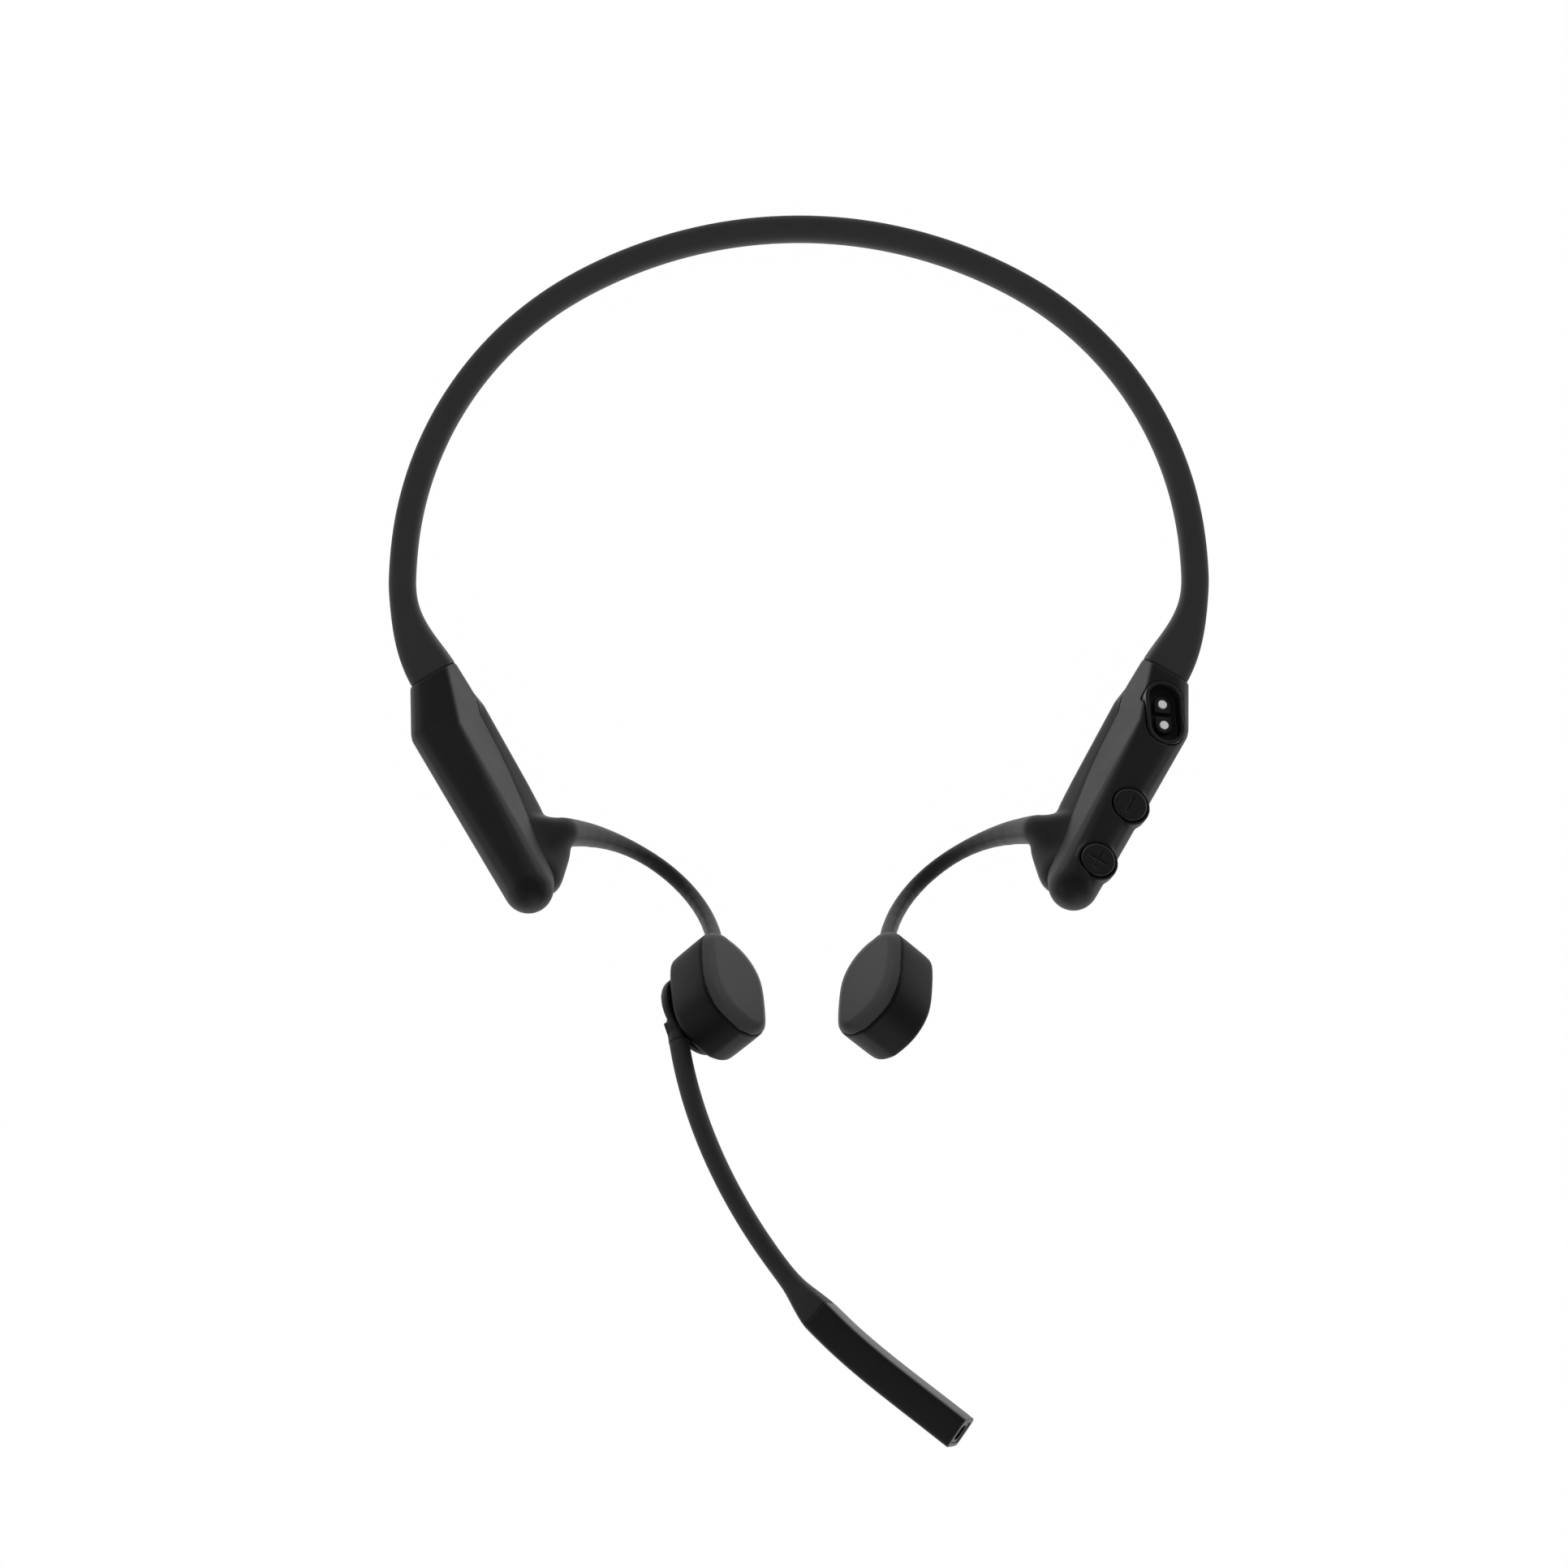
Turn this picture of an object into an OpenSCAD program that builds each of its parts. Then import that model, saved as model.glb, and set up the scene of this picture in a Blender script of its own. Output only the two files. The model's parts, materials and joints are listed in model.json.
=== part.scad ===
// Bone conduction headset with a swivelling boom microphone.
// The headset lies upside down, as it is laid on a table: it stands on the tops of its two ear
// hooks and on the back of its neckband. +Z points to the wearer's feet, +X to the wearer's
// right and +Y to the nape. Every length is in millimetres and every angle in degrees.

/* [Neckband] */
// Half of the width between the neckband's centre lines at their widest
band_half_width = 62.9; // [60:0.1:70]
// How far the widest place lies behind the origin
band_wide_y = 34.5; // [33:0.1:36]
// Bend radius of the neckband behind the head
band_back_radius = 72; // [68:0.5:78]
// Bend radius of the neckband beside the head
band_side_radius = 54.2; // [52:0.1:56]
// Bend radius of the neckband where it turns in behind the ear
band_front_radius = 31; // [28:0.5:34]
// How far the neckband turns in behind the ear
band_front_turn = 31; // [28:0.5:33]
// Rise of the neckband's plane from the nape to the ears
band_tilt = 9; // [7:0.25:11]
// Width of the silicone sleeve, towards the head
band_width = 4.3; // [4:0.1:5]
// Height of the silicone sleeve
band_height = 5; // [4.6:0.1:6]
// Corner radius of the sleeve
band_round = 1.6; // [1:0.1:1.9]
// Diameter of the spring wire in the neckband
band_wire_d = 1.5; // [1.2:0.1:1.6]
// Diameter of the cable beside the spring wire
band_cable_d = 1; // [0.8:0.1:1.1]

/* [Housings] */
// Climb of the housings' axis towards their noses
housing_pitch = 29.5; // [27:0.5:32]
// Length of a housing from its seam to the centre of its nose
housing_length = 36.9; // [35:0.1:39]
// Height of the dark face above the neckband's centre line at the seam
face_rise = 4; // [3.6:0.1:4.4]
// Height of a housing, across its climb
housing_height = 13.5; // [13:0.1:14.5]
// Radius of the nose
nose_radius = 3.9; // [3.6:0.1:4.2]
// Radius of the long outer edge
outer_edge_radius = 3; // [2.5:0.1:3.3]
// Radius of the crisp inner edge
inner_edge_radius = 0.8; // [0.5:0.1:1]
// Distance from the cavity's end to the tip of the dark face, along the climb
cavity_nose_gap = 7.9; // [7.4:0.1:9]
// Width of the cavity
cavity_width = 4.8; // [4.5:0.1:5]
// Height of the cavity
cavity_height = 10; // [9.6:0.1:10.3]

/* [Volume buttons] */
// Diameter of a volume button
button_d = 5.4; // [5:0.1:5.6]
// Travel of a volume button
button_travel = 0.35; // [0.25:0.05:0.4]
// Distance between the volume buttons
button_pitch = 11.4; // [10.5:0.1:12]
// Gap round a volume button
button_gap = 0.15; // [0.1:0.01:0.2]
// Wall of the collar round a volume button
collar_wall = 0.45; // [0.35:0.05:0.55]

/* [Charging port] */
// Width of the port's rim
port_width = 6.1; // [5.8:0.1:6.4]
// Length of the port's rim
port_length = 10.9; // [10.4:0.1:11.2]
// Width of the rim's edge
port_rim = 0.55; // [0.4:0.05:0.65]
// Depth of the port
port_depth = 2; // [1.6:0.1:2.1]
// Distance between the two contacts
contact_pitch = 3.6; // [3.4:0.1:3.8]
// Diameter of a contact
contact_d = 1.4; // [1.1:0.1:1.5]

/* [Ear hooks] */
// Diameter of an ear hook over the ear
hook_d = 2.6; // [2.4:0.1:3]
// Diameter of an ear hook where it leaves the housing
hook_root_d = 5.2; // [4.6:0.1:5.4]
// Diameter of the spring wire in an ear hook
hook_wire_d = 1; // [0.8:0.1:1.2]

/* [Pods] */
// Half of the gap between the centres of the two ear pads
pad_half_gap = 9.44; // [8.5:0.1:13]
// How far the ear pads lie in front of the origin
pad_front = 28.2; // [27.5:0.1:29]
// Height of the ear pads' centres
pad_rise = 36; // [35.5:0.1:36.5]
// Length of a pod at its seam
pod_length = 19; // [18.4:0.1:20]
// Width of a pod at its seam
pod_width = 13; // [12.8:0.1:14]
// Depth of a pod from the pad's face to its outer face
pod_depth = 8.7; // [8.4:0.1:9.2]
// Height of the soft pad above the seam
pad_height = 1.2; // [1:0.1:1.5]
// Length of the pad's flat face
pad_length = 14.6; // [14:0.1:15.5]
// Width of the pad's flat face
pad_width = 9.3; // [9:0.1:10]
// Wall of the pod's shell
pod_wall = 1.2; // [1:0.1:1.3]

/* [Boom] */
// Diameter of the hub that the boom turns on
hub_d = 14.6; // [14:0.1:15]
// Height of the hub
hub_height = 1.9; // [1.8:0.1:2.2]
// Height of the hub's straight rim
hub_rim = 1.1; // [0.8:0.1:1.3]
// Diameter of the pivot boss
boss_d = 7.2; // [7:0.1:7.4]
// Running clearance between the boss and the hub
pivot_gap = 0.05; // [0.03:0.01:0.08]
// Width of the flexible arm
arm_width = 2.9; // [2.8:0.1:3.3]
// Thickness of the flexible arm
arm_thickness = 2.9; // [2.8:0.1:3.3]
// Width of the microphone housing
mic_width = 4.2; // [4:0.1:4.6]
// Thickness of the microphone housing
mic_thickness = 4.9; // [4.7:0.1:5.2]
// Diameter of the multifunction button
call_button_d = 4.8; // [4.4:0.1:5]
// Travel of the multifunction button
call_button_travel = 0.35; // [0.25:0.05:0.4]

/* [Hidden] */

smooth = 48;          // segments of an exact round
ball = 18;            // segments of a ball inside a hull
fit = 0.05;           // gap of a part that is pressed or glued into a pocket
loose = 0.1;          // gap round a part that lies in a channel
cut = 1;              // how far a cutting solid runs past what it cuts
big = 120;            // edge of a half-space block

rubber = [0.17, 0.17, 0.175];
silicone = [0.30, 0.30, 0.31];
plastic = [0.10, 0.10, 0.105];
steel = [0.75, 0.76, 0.78];
copper = [0.80, 0.50, 0.28];
board_green = [0.10, 0.35, 0.22];

function unit(v) = v / norm(v);
function mix(a, b, t) = a + (b - a) * t;
function ease(t) = let (u = min(max(t, 0), 1)) u * u * (3 - 2 * u);
function bezier(c, t) = pow(1 - t, 3) * c[0] + 3 * pow(1 - t, 2) * t * c[1]
    + 3 * (1 - t) * t * t * c[2] + pow(t, 3) * c[3];
function bezier_slope(c, t) = unit(pow(1 - t, 2) * (c[1] - c[0])
    + 2 * (1 - t) * t * (c[2] - c[1]) + t * t * (c[3] - c[2]));
// Component of v square to the unit vector t, made one long
function square_to(v, t) = unit(v - (v * t) * t);

// Box with round corners as a ring of points, given by its four sides
function box_ring(left, right, low, high, r, steps = 3) = [
    for (q = [0:3], k = [0:steps])
        let (cx = (q == 0 || q == 3) ? right - r : left + r)
        let (cy = (q < 2) ? high - r : low + r)
        [cx + r * cos(90 * q + 90 * k / steps), cy + r * sin(90 * q + 90 * k / steps)]];
// Box with round corners whose two diagonal pairs of corners differ
function pod_ring(l, w, sharp, full, steps = 4) = [
    for (q = [0:3], k = [0:steps])
        let (r = (q % 2 == 0) ? full : sharp)
        let (cx = (q == 0 || q == 3) ? l / 2 - r : r - l / 2)
        let (cy = (q < 2) ? w / 2 - r : r - w / 2)
        [cx + r * cos(90 * q + 90 * k / steps), cy + r * sin(90 * q + 90 * k / steps)]];
function round_ring(r, sides) = [for (k = [0:sides - 1]) r * [cos(360 * k / sides), sin(360 * k / sides)]];
// A flat ring of points set at a place, with its two axes
function set_ring(ring, at, right, up) = [for (p = ring) at + p[0] * right + p[1] * up];

// Skin over rings that follow each other; looped joins the last ring to the first
module skin(rings, looped = false) {
    n = len(rings[0]);
    m = len(rings);
    walls = [for (i = [0:m - (looped ? 1 : 2)], j = [0:n - 1])
        let (a = i * n + j, b = i * n + (j + 1) % n)
        let (c = ((i + 1) % m) * n + (j + 1) % n, d = ((i + 1) % m) * n + j)
        each [[a, c, b], [a, d, c]]];
    caps = looped ? [] : [[for (j = [0:n - 1]) j], [for (j = [n - 1:-1:0]) (m - 1) * n + j]];
    polyhedron(points = [for (r = rings) each r], faces = concat(walls, caps), convexity = 8);
}
module on_left() mirror([1, 0, 0]) children();
// Stadium of a length and a width, lying along X
module stadium(l, w) {
    square([l - w, w], center = true);
    for (side = [-1, 1])
        translate([side * (l - w) / 2, 0]) circle(d = w, $fn = smooth);
}

// ---- Neckband: three tangent arcs to each side, lifted along a tilted plane ----
back_turn = asin((band_half_width - band_side_radius) / (band_back_radius - band_side_radius));
band_back_y = band_wide_y + band_back_radius - (band_back_radius - band_side_radius) * cos(back_turn);
band_end_turn = 90 + band_front_turn;
// Height of the centre line at the nape, where the sleeve's rounded edge touches the table
band_back_z = (band_height / 2 - band_round) * cos(band_tilt)
    + (band_width / 2 - band_round) * sin(band_tilt) + band_round;
// Place of the centre line where it has turned by a; negative turns lead to the left
function band_arc(a) =
    a <= back_turn ? [band_back_radius * sin(a), band_back_y - band_back_radius * (1 - cos(a))]
    : a <= 90 ? [(band_back_radius - band_side_radius) * sin(back_turn), band_wide_y]
        + band_side_radius * [sin(a), cos(a)]
    : [band_half_width - band_front_radius, band_wide_y] + band_front_radius * [sin(a), cos(a)];
function band_point(a) = let (p = band_arc(abs(a)))
    [sign(a) * p[0], p[1], band_back_z + (band_back_y - p[1]) * tan(band_tilt)];
function band_out(a) = [sin(a), cos(a), 0];
band_side_steps = 14;
band_front_steps = 8;
band_turns = [
    for (k = [band_front_steps:-1:1]) -90 - k * band_front_turn / band_front_steps,
    for (k = [-band_side_steps:band_side_steps]) k * 90 / band_side_steps,
    for (k = [1:band_front_steps]) 90 + k * band_front_turn / band_front_steps];

// ---- Housing frame: origin at the neckband's end, X along the housing, Y outwards ----
band_end = band_point(band_end_turn);
module at_housing() translate(band_end) rotate(-band_end_turn) children();
function from_housing(p) = band_end + p[0] * [cos(band_end_turn), -sin(band_end_turn), 0]
    + p[1] * band_out(band_end_turn) + [0, 0, p[2]];
// The same frame, pitched so that its X runs along the dark face and its Z stands on it
module at_face() at_housing() rotate([0, -housing_pitch, 0]) children();
climb = tan(housing_pitch);
face_z = face_rise * cos(housing_pitch);
function face_top(s) = face_rise + climb * s;
function face_low(s) = face_top(s) - housing_height / cos(housing_pitch);
// Sides of the seam between the sleeve and a housing
seam_in = 4.6;
seam_out = 3;
seam_drop = 5;
seam_round = 1.6;
bend_s = 8.1;         // where the outer edge turns
bend_out = 7.1;       // how far out it turns
crease_s = 9.1;       // where the inner edge turns
crease_in = 1.2;      // how far in it turns
cover_in = 4.9;       // how far in the soft cover reaches
cover_radius = 1.8;   // radius of the soft cover's edge
cover_nose = nose_radius - 0.25;
cover_lift = 5.6;     // how far up the housing the soft cover climbs to the parting line
web_reach = -4.4;     // how far in the web under the nose reaches
nose_out = nose_radius - 1.6;
nose_low_s = housing_length - 1.4;   // centre of the nose under the climb
// Place of the nose's centre along the pitched face
nose_a = housing_length / cos(housing_pitch) + face_rise * sin(housing_pitch);
// Parting plane between the dark shell and the soft cover: climb along and fall across
part_at = [20, -3.8, 5.2];
part_climb = 31.8;
part_fall = 16.8;

flare_turn = 26;      // turn over which the sleeve swells into the housing
function sleeve_flare(a) = ease((abs(a) - band_end_turn + flare_turn) / flare_turn);
function sleeve_ring(a) = let (f = sleeve_flare(a))
    set_ring(box_ring(mix(-band_width / 2, -seam_in, f), mix(band_width / 2, seam_out, f),
        mix(-band_height / 2, -seam_drop, f), mix(band_height / 2, face_rise, f),
        mix(band_round, seam_round, f)), band_point(a), band_out(a), [0, 0, 1]);
wire_z = -0.6;        // height of the spring wire in the sleeve's channel
channel_width = band_wire_d + 4 * loose;
channel_height = 3;
function channel_ring(a) = set_ring(box_ring(-channel_width / 2, channel_width / 2,
    -channel_height / 2, channel_height / 2, 0.5), band_point(a), band_out(a), [0, 0, 1]);
cable_z = channel_height / 2 - loose - band_cable_d / 2;
// How far the wire and the cable run into the housings
wire_tail = 7;
cable_tail = 8.5;
function band_core(r, z, tail, sides) = let (ring = round_ring(r, sides))
    let (heading = [cos(band_end_turn), -sin(band_end_turn), 0])
    concat([set_ring(ring, band_point(-band_end_turn) + [0, 0, z] + tail * [-heading[0], heading[1], 0],
            band_out(-band_end_turn), [0, 0, 1])],
        [for (a = band_turns) set_ring(ring, band_point(a) + [0, 0, z], band_out(a), [0, 0, 1])],
        [set_ring(ring, band_point(band_end_turn) + [0, 0, z] + tail * heading,
            band_out(band_end_turn), [0, 0, 1])]);

module neckband_sleeve() color(rubber)
    skin(concat([for (a = band_turns) sleeve_ring(a)],
        [for (k = [len(band_turns) - 1:-1:0]) channel_ring(band_turns[k])]), looped = true);
module neckband_wire() color(steel) skin(band_core(band_wire_d / 2, wire_z, wire_tail, 6));
module neckband_cable() color(plastic) skin(band_core(band_cable_d / 2, cable_z, cable_tail, 6));

// ---- Housings: a dark shell and a soft cover that part on one slanted plane ----
module ball_at(s, v, z, r) translate([s, v, z]) sphere(r, $fn = ball);
module rear_form() intersection() {
    hull() {
        ball_at(-3, inner_edge_radius - seam_in - 0.1, face_top(-3) - inner_edge_radius, inner_edge_radius);
        ball_at(-3, 1.4 - 2.2, face_top(-3) - 2.4, 2.2);
        ball_at(-3, 1.4 - 2.2, -seam_drop + 2.4, 2.2);
        ball_at(-3, -seam_in + 1.6, -seam_drop + 1.8, 1.6);
        ball_at(crease_s, inner_edge_radius - crease_in, face_top(crease_s) - inner_edge_radius,
            inner_edge_radius);
        ball_at(bend_s, bend_out - outer_edge_radius, face_top(bend_s) - outer_edge_radius,
            outer_edge_radius);
        ball_at(bend_s, bend_out - outer_edge_radius, face_low(crease_s) + outer_edge_radius,
            outer_edge_radius);
        ball_at(crease_s, cover_radius - seam_in, face_low(crease_s) + cover_radius, cover_radius);
    }
    translate([0, -big / 2, -big / 2]) cube(big);
}
module front_form() hull() {
    ball_at(crease_s, inner_edge_radius - crease_in, face_top(crease_s) - inner_edge_radius,
        inner_edge_radius);
    ball_at(bend_s, bend_out - outer_edge_radius, face_top(bend_s) - outer_edge_radius,
        outer_edge_radius);
    ball_at(bend_s, bend_out - outer_edge_radius, face_low(crease_s) + outer_edge_radius,
        outer_edge_radius);
    ball_at(crease_s, cover_radius - seam_in, face_low(crease_s) + cover_radius, cover_radius);
    ball_at(housing_length, nose_out, face_top(housing_length) - nose_radius, nose_radius);
    ball_at(nose_low_s, nose_out - 0.4, face_low(housing_length) + nose_radius, nose_radius);
}
module cover_form() {
    // Long inner side
    hull() {
        ball_at(8, cover_radius - cover_in, face_low(8) + cover_radius + 0.6, cover_radius);
        ball_at(nose_low_s - 8.5, cover_radius - cover_in, face_low(nose_low_s - 8.5) + 2.4, cover_radius);
        ball_at(8, 0, face_low(8) + cover_lift, cover_radius);
        ball_at(nose_low_s - 8.5, 0, face_low(nose_low_s - 8.5) + cover_lift, cover_radius);
        ball_at(nose_low_s + 0.4, nose_out - 2.1, face_low(housing_length) + nose_radius, cover_nose);
    }
    // Web that runs from the nose into the ear hook
    hull() {
        ball_at(nose_low_s + 0.4, nose_out - 2.1, face_low(housing_length) + nose_radius, cover_nose);
        ball_at(nose_low_s - 1, web_reach + 0.5, face_low(nose_low_s) + 1.9, 1.9);
        ball_at(nose_low_s - 4, web_reach, face_low(nose_low_s - 3) + 2.2, 2);
        ball_at(nose_low_s - 9, 0, face_low(nose_low_s - 9) + cover_lift, cover_radius);
        ball_at(nose_low_s - 2, 0, face_low(nose_low_s - 2) + cover_lift + 0.6, cover_radius);
    }
}
module above_parting() translate(part_at) rotate([-part_fall, -part_climb, 0])
    translate([-big / 2, -big / 2, 0]) cube(big);
module below_parting() translate(part_at) rotate([-part_fall, -part_climb, 0])
    translate([-big / 2, -big / 2, -big]) cube(big);
// Cavity in the pitched frame, and the channel that leads the cable into it
cavity_at = [9.5, 0.2, face_z - 2.1 - cavity_height];
cavity_length = nose_a - cavity_nose_gap - cavity_at[0];
// Shallow bay that carries on from the cavity towards the nose, for the boards' ends
bay_length = cavity_length + 3.9;
bay_low = face_z - 6.6;
module cavity() {
    at_face_local() {
        translate(cavity_at) cube([cavity_length, cavity_width, cavity_height]);
        translate([cavity_at[0], cavity_at[1], bay_low])
            cube([bay_length, cavity_width, cavity_at[2] + cavity_height - bay_low]);
    }
    translate([-cut, -channel_width / 2, -channel_height / 2]) cube([12, channel_width, channel_height]);
}
module at_face_local() rotate([0, -housing_pitch, 0]) children();
module housing_blank() intersection() {
    union() {
        rear_form();
        front_form();
    }
    above_parting();
}
module housing_shell_left() color(plastic) on_left() at_housing() difference() {
    housing_blank();
    cavity();
}

// Volume buttons on the right housing, in the pitched frame
plus_at = [nose_a - 5.9, 3.4];
minus_at = plus_at + [-button_pitch, 0.4];
cap_proud = 0.6;      // how far a button stands above the dark face
collar_proud = 0.25;
well_depth = 1.35;    // depth of the well that a button lies in
stem_d = 2.4;
snap_d = 3.4;
snap_height = 0.6;
floor_thick = 0.65;   // floor of the well, which the snap holds under
well_z = face_z - well_depth;
module button_collar(p) translate([p[0], p[1], well_z - floor_thick])
    cylinder(d = button_d + 2 * (button_gap + collar_wall), h = well_depth + floor_thick + collar_proud,
        $fn = smooth);
module button_bores(p) {
    translate([p[0], p[1], well_z])
        cylinder(d = button_d + 2 * button_gap, h = well_depth + cut + 2, $fn = smooth);
    translate([p[0], p[1], well_z - floor_thick - cut])
        cylinder(d = stem_d + 2 * loose, h = floor_thick + 2 * cut, $fn = smooth);
    translate([p[0], p[1], well_z - floor_thick - 3])
        cylinder(d = snap_d + 4 * loose, h = 3, $fn = smooth);
}
mark_l = 3.2;
mark_w = 0.42;
mark_deep = 0.25;
cap_rest = button_travel + loose;
module volume_button(p, plus) color(plastic) at_face() translate([p[0], p[1], 0]) {
    top_z = face_z + cap_proud;
    difference() {
        union() {
            translate([0, 0, well_z + cap_rest])
                cylinder(d = button_d, h = top_z - well_z - cap_rest - 0.2, $fn = smooth);
            translate([0, 0, top_z - 0.2]) cylinder(d1 = button_d, d2 = button_d - 0.4, h = 0.2, $fn = smooth);
        }
        for (turn = plus ? [0, 90] : [0])
            rotate(turn) translate([0, 0, top_z - mark_deep]) linear_extrude(1) stadium(mark_l, mark_w);
    }
    translate([0, 0, well_z - floor_thick - loose]) cylinder(d = stem_d, h = floor_thick + 2 * loose + cap_rest, $fn = smooth);
    translate([0, 0, well_z - floor_thick - loose - snap_height]) cylinder(d = snap_d, h = snap_height, $fn = smooth);
}
snap_low = well_z - floor_thick - loose - snap_height;

// Charging port on the right housing, in the pitched frame: its length follows the rear outer edge
port_at = [9.2, 1.9];
port_turn = 29;
port_proud = 0.4;
port_floor = face_z + port_proud - port_depth;
bezel_low = port_floor - 1.7;
island_rise = 1;
island_w = 2.7;
module at_port() translate([port_at[0], port_at[1], 0]) rotate(port_turn) children();
module port_well() at_port() translate([0, 0, bezel_low - fit])
    linear_extrude(port_depth + 5) stadium(port_length + 2 * fit, port_width + 2 * fit);
module housing_shell_right() color(plastic) at_housing() difference() {
    union() {
        housing_blank();
        at_face_local() {
            button_collar(minus_at);
            button_collar(plus_at);
        }
    }
    cavity();
    at_face_local() {
        button_bores(minus_at);
        button_bores(plus_at);
        port_well();
        at_port() translate([-contact_pitch, -1, bezel_low - 2.4]) cube([2 * contact_pitch, 2, 2.6]);
    }
}
magnet_d = 1.9;
magnet_h = 1;
magnet_pitch = port_length - 2 * 2;
module charge_port_bezel() color(plastic) at_face() at_port() difference() {
    translate([0, 0, bezel_low]) linear_extrude(face_z + port_proud - bezel_low)
        stadium(port_length, port_width);
    difference() {
        translate([0, 0, port_floor]) linear_extrude(port_depth + cut)
            stadium(port_length - 2 * port_rim, port_width - 2 * port_rim);
        difference() {
            translate([0, 0, port_floor - cut]) linear_extrude(island_rise + cut)
                stadium(contact_pitch + island_w, island_w);
            translate([-0.4, -port_width, port_floor]) cube([0.8, 2 * port_width, port_depth]);
        }
    }
    for (side = [-1, 1]) {
        translate([side * contact_pitch / 2, 0, bezel_low - cut])
            cylinder(d = 0.8, h = 6, $fn = smooth);
        translate([side * contact_pitch / 2, 0, port_floor + island_rise - 0.3])
            cylinder(d = contact_d + 2 * fit, h = 1, $fn = smooth);
        translate([side * magnet_pitch / 2, 0, bezel_low - cut])
            cylinder(d = magnet_d + 2 * fit, h = cut + magnet_h, $fn = smooth);
    }
}
module charge_contacts() color(steel) at_face() at_port() for (side = [-1, 1])
    translate([side * contact_pitch / 2, 0, 0]) {
        translate([0, 0, bezel_low - 0.8])
            cylinder(d = 0.7, h = port_floor + island_rise - 0.25 - bezel_low + 0.8, $fn = smooth);
        translate([0, 0, port_floor + island_rise - 0.25]) cylinder(d = contact_d, h = 0.35, $fn = smooth);
    }
module charge_magnets() color(steel) at_face() at_port() for (side = [-1, 1])
    translate([side * magnet_pitch / 2, 0, bezel_low]) cylinder(d = magnet_d, h = magnet_h - fit, $fn = smooth);

// Battery in the left housing, main board and volume switches in the right one
board_thick = 0.8;
module battery_board() color(board_green) on_left() at_face()
    translate(cavity_at + [fit, fit, cavity_height - board_thick - fit])
    cube([bay_length - 2 * fit, cavity_width - 2 * fit, board_thick]);
module battery_cell() color("silver") on_left() at_face() {
    r = 1.2;
    h = cavity_height - board_thick - 4 * loose;
    w = cavity_width - 2 * loose;
    translate(cavity_at + [3 * loose, loose, loose]) {
        translate([0, 0, r]) cube([cavity_length - 8 * loose, w, h - 2 * r]);
        translate([0, r, 0]) cube([cavity_length - 8 * loose, w - 2 * r, h]);
        for (y = [r, w - r], z = [r, h - r])
            translate([0, y, z]) rotate([0, 90, 0]) cylinder(r = r, h = cavity_length - 8 * loose, $fn = smooth);
    }
}
switch_h = 1;
board_z = snap_low - button_travel - loose - switch_h;
module main_board() color(board_green) at_face()
    translate([cavity_at[0] + fit, cavity_at[1] + fit, board_z - board_thick]) {
        cube([bay_length - 2 * fit, cavity_width - 2 * fit, board_thick]);
        // Screening cans under the board
        translate([3, 0.5, -1.6]) cube([7, cavity_width - 1 - 2 * fit, 1.6]);
        translate([13, 0.5, -1.2]) cube([9, cavity_width - 1 - 2 * fit, 1.2]);
    }
module volume_switches() color(steel) at_face() for (p = [minus_at, plus_at])
    translate([p[0], min(p[1], cavity_at[1] + cavity_width - 1.8), board_z]) {
        translate([-1.4, -1.4, 0]) cube([2.8, 2.8, switch_h - 0.2]);
        cylinder(d = 1.6, h = switch_h, $fn = smooth);
    }

// ---- Pods: frame with X along the pad, Y across it and Z out of the pad's face ----
pad_axis = unit([-0.679, 0.564, 0.469]);
pod_long = square_to([0.091, 0.662, -0.749], pad_axis);
pod_across = cross(pad_axis, pod_long);
pad_centre = [pad_half_gap, -pad_front, pad_rise];
module at_pod() multmatrix([
    [pod_long[0], pod_across[0], pad_axis[0], pad_centre[0]],
    [pod_long[1], pod_across[1], pad_axis[1], pad_centre[1]],
    [pod_long[2], pod_across[2], pad_axis[2], pad_centre[2]],
    [0, 0, 0, 1]]) children();
function from_pod(p) = pad_centre + p[0] * pod_long + p[1] * pod_across + p[2] * pad_axis;
// The seam's outline lies a little off the pad's centre, and two of its corners are fuller
seam_shift = [-0.2, -0.25, 0];
sharp_corner = 5.4;
full_corner = pod_width - sharp_corner - 0.2;
pad_sharp = 1.9;
pad_full = pad_width - pad_sharp - 0.2;
edge_round = 0.9;
function pod_level(grow, z) = [for (p = pod_ring(pod_length + 2 * grow, pod_width + 2 * grow,
    sharp_corner + grow, full_corner + grow)) seam_shift + [p[0], p[1], z]];
// Shell as a cup: the rounded outer edge, the outer rim, the inner rim and the inner floor
module pod_cup() skin([
    for (a = [90, 60, 30, 0]) pod_level(-edge_round * (1 - cos(a)), edge_round * (1 - sin(a)) - pod_depth),
    pod_level(0, -pad_height), pod_level(-pod_wall, -pad_height),
    pod_level(-pod_wall, pod_wall - pod_depth)]);
function pad_level(share) = [for (p = pod_ring(mix(pod_length, pad_length, share),
    mix(pod_width, pad_width, share), mix(sharp_corner, pad_sharp, share), mix(full_corner, pad_full, share)))
    (1 - share) * seam_shift + [p[0], p[1], 0]];
module ear_pad() at_pod() skin([
    pod_level(-0.02, -pad_height),
    [for (p = pad_level(0.5)) p - [0, 0, 0.35 * pad_height]],
    pad_level(1)]);

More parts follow.
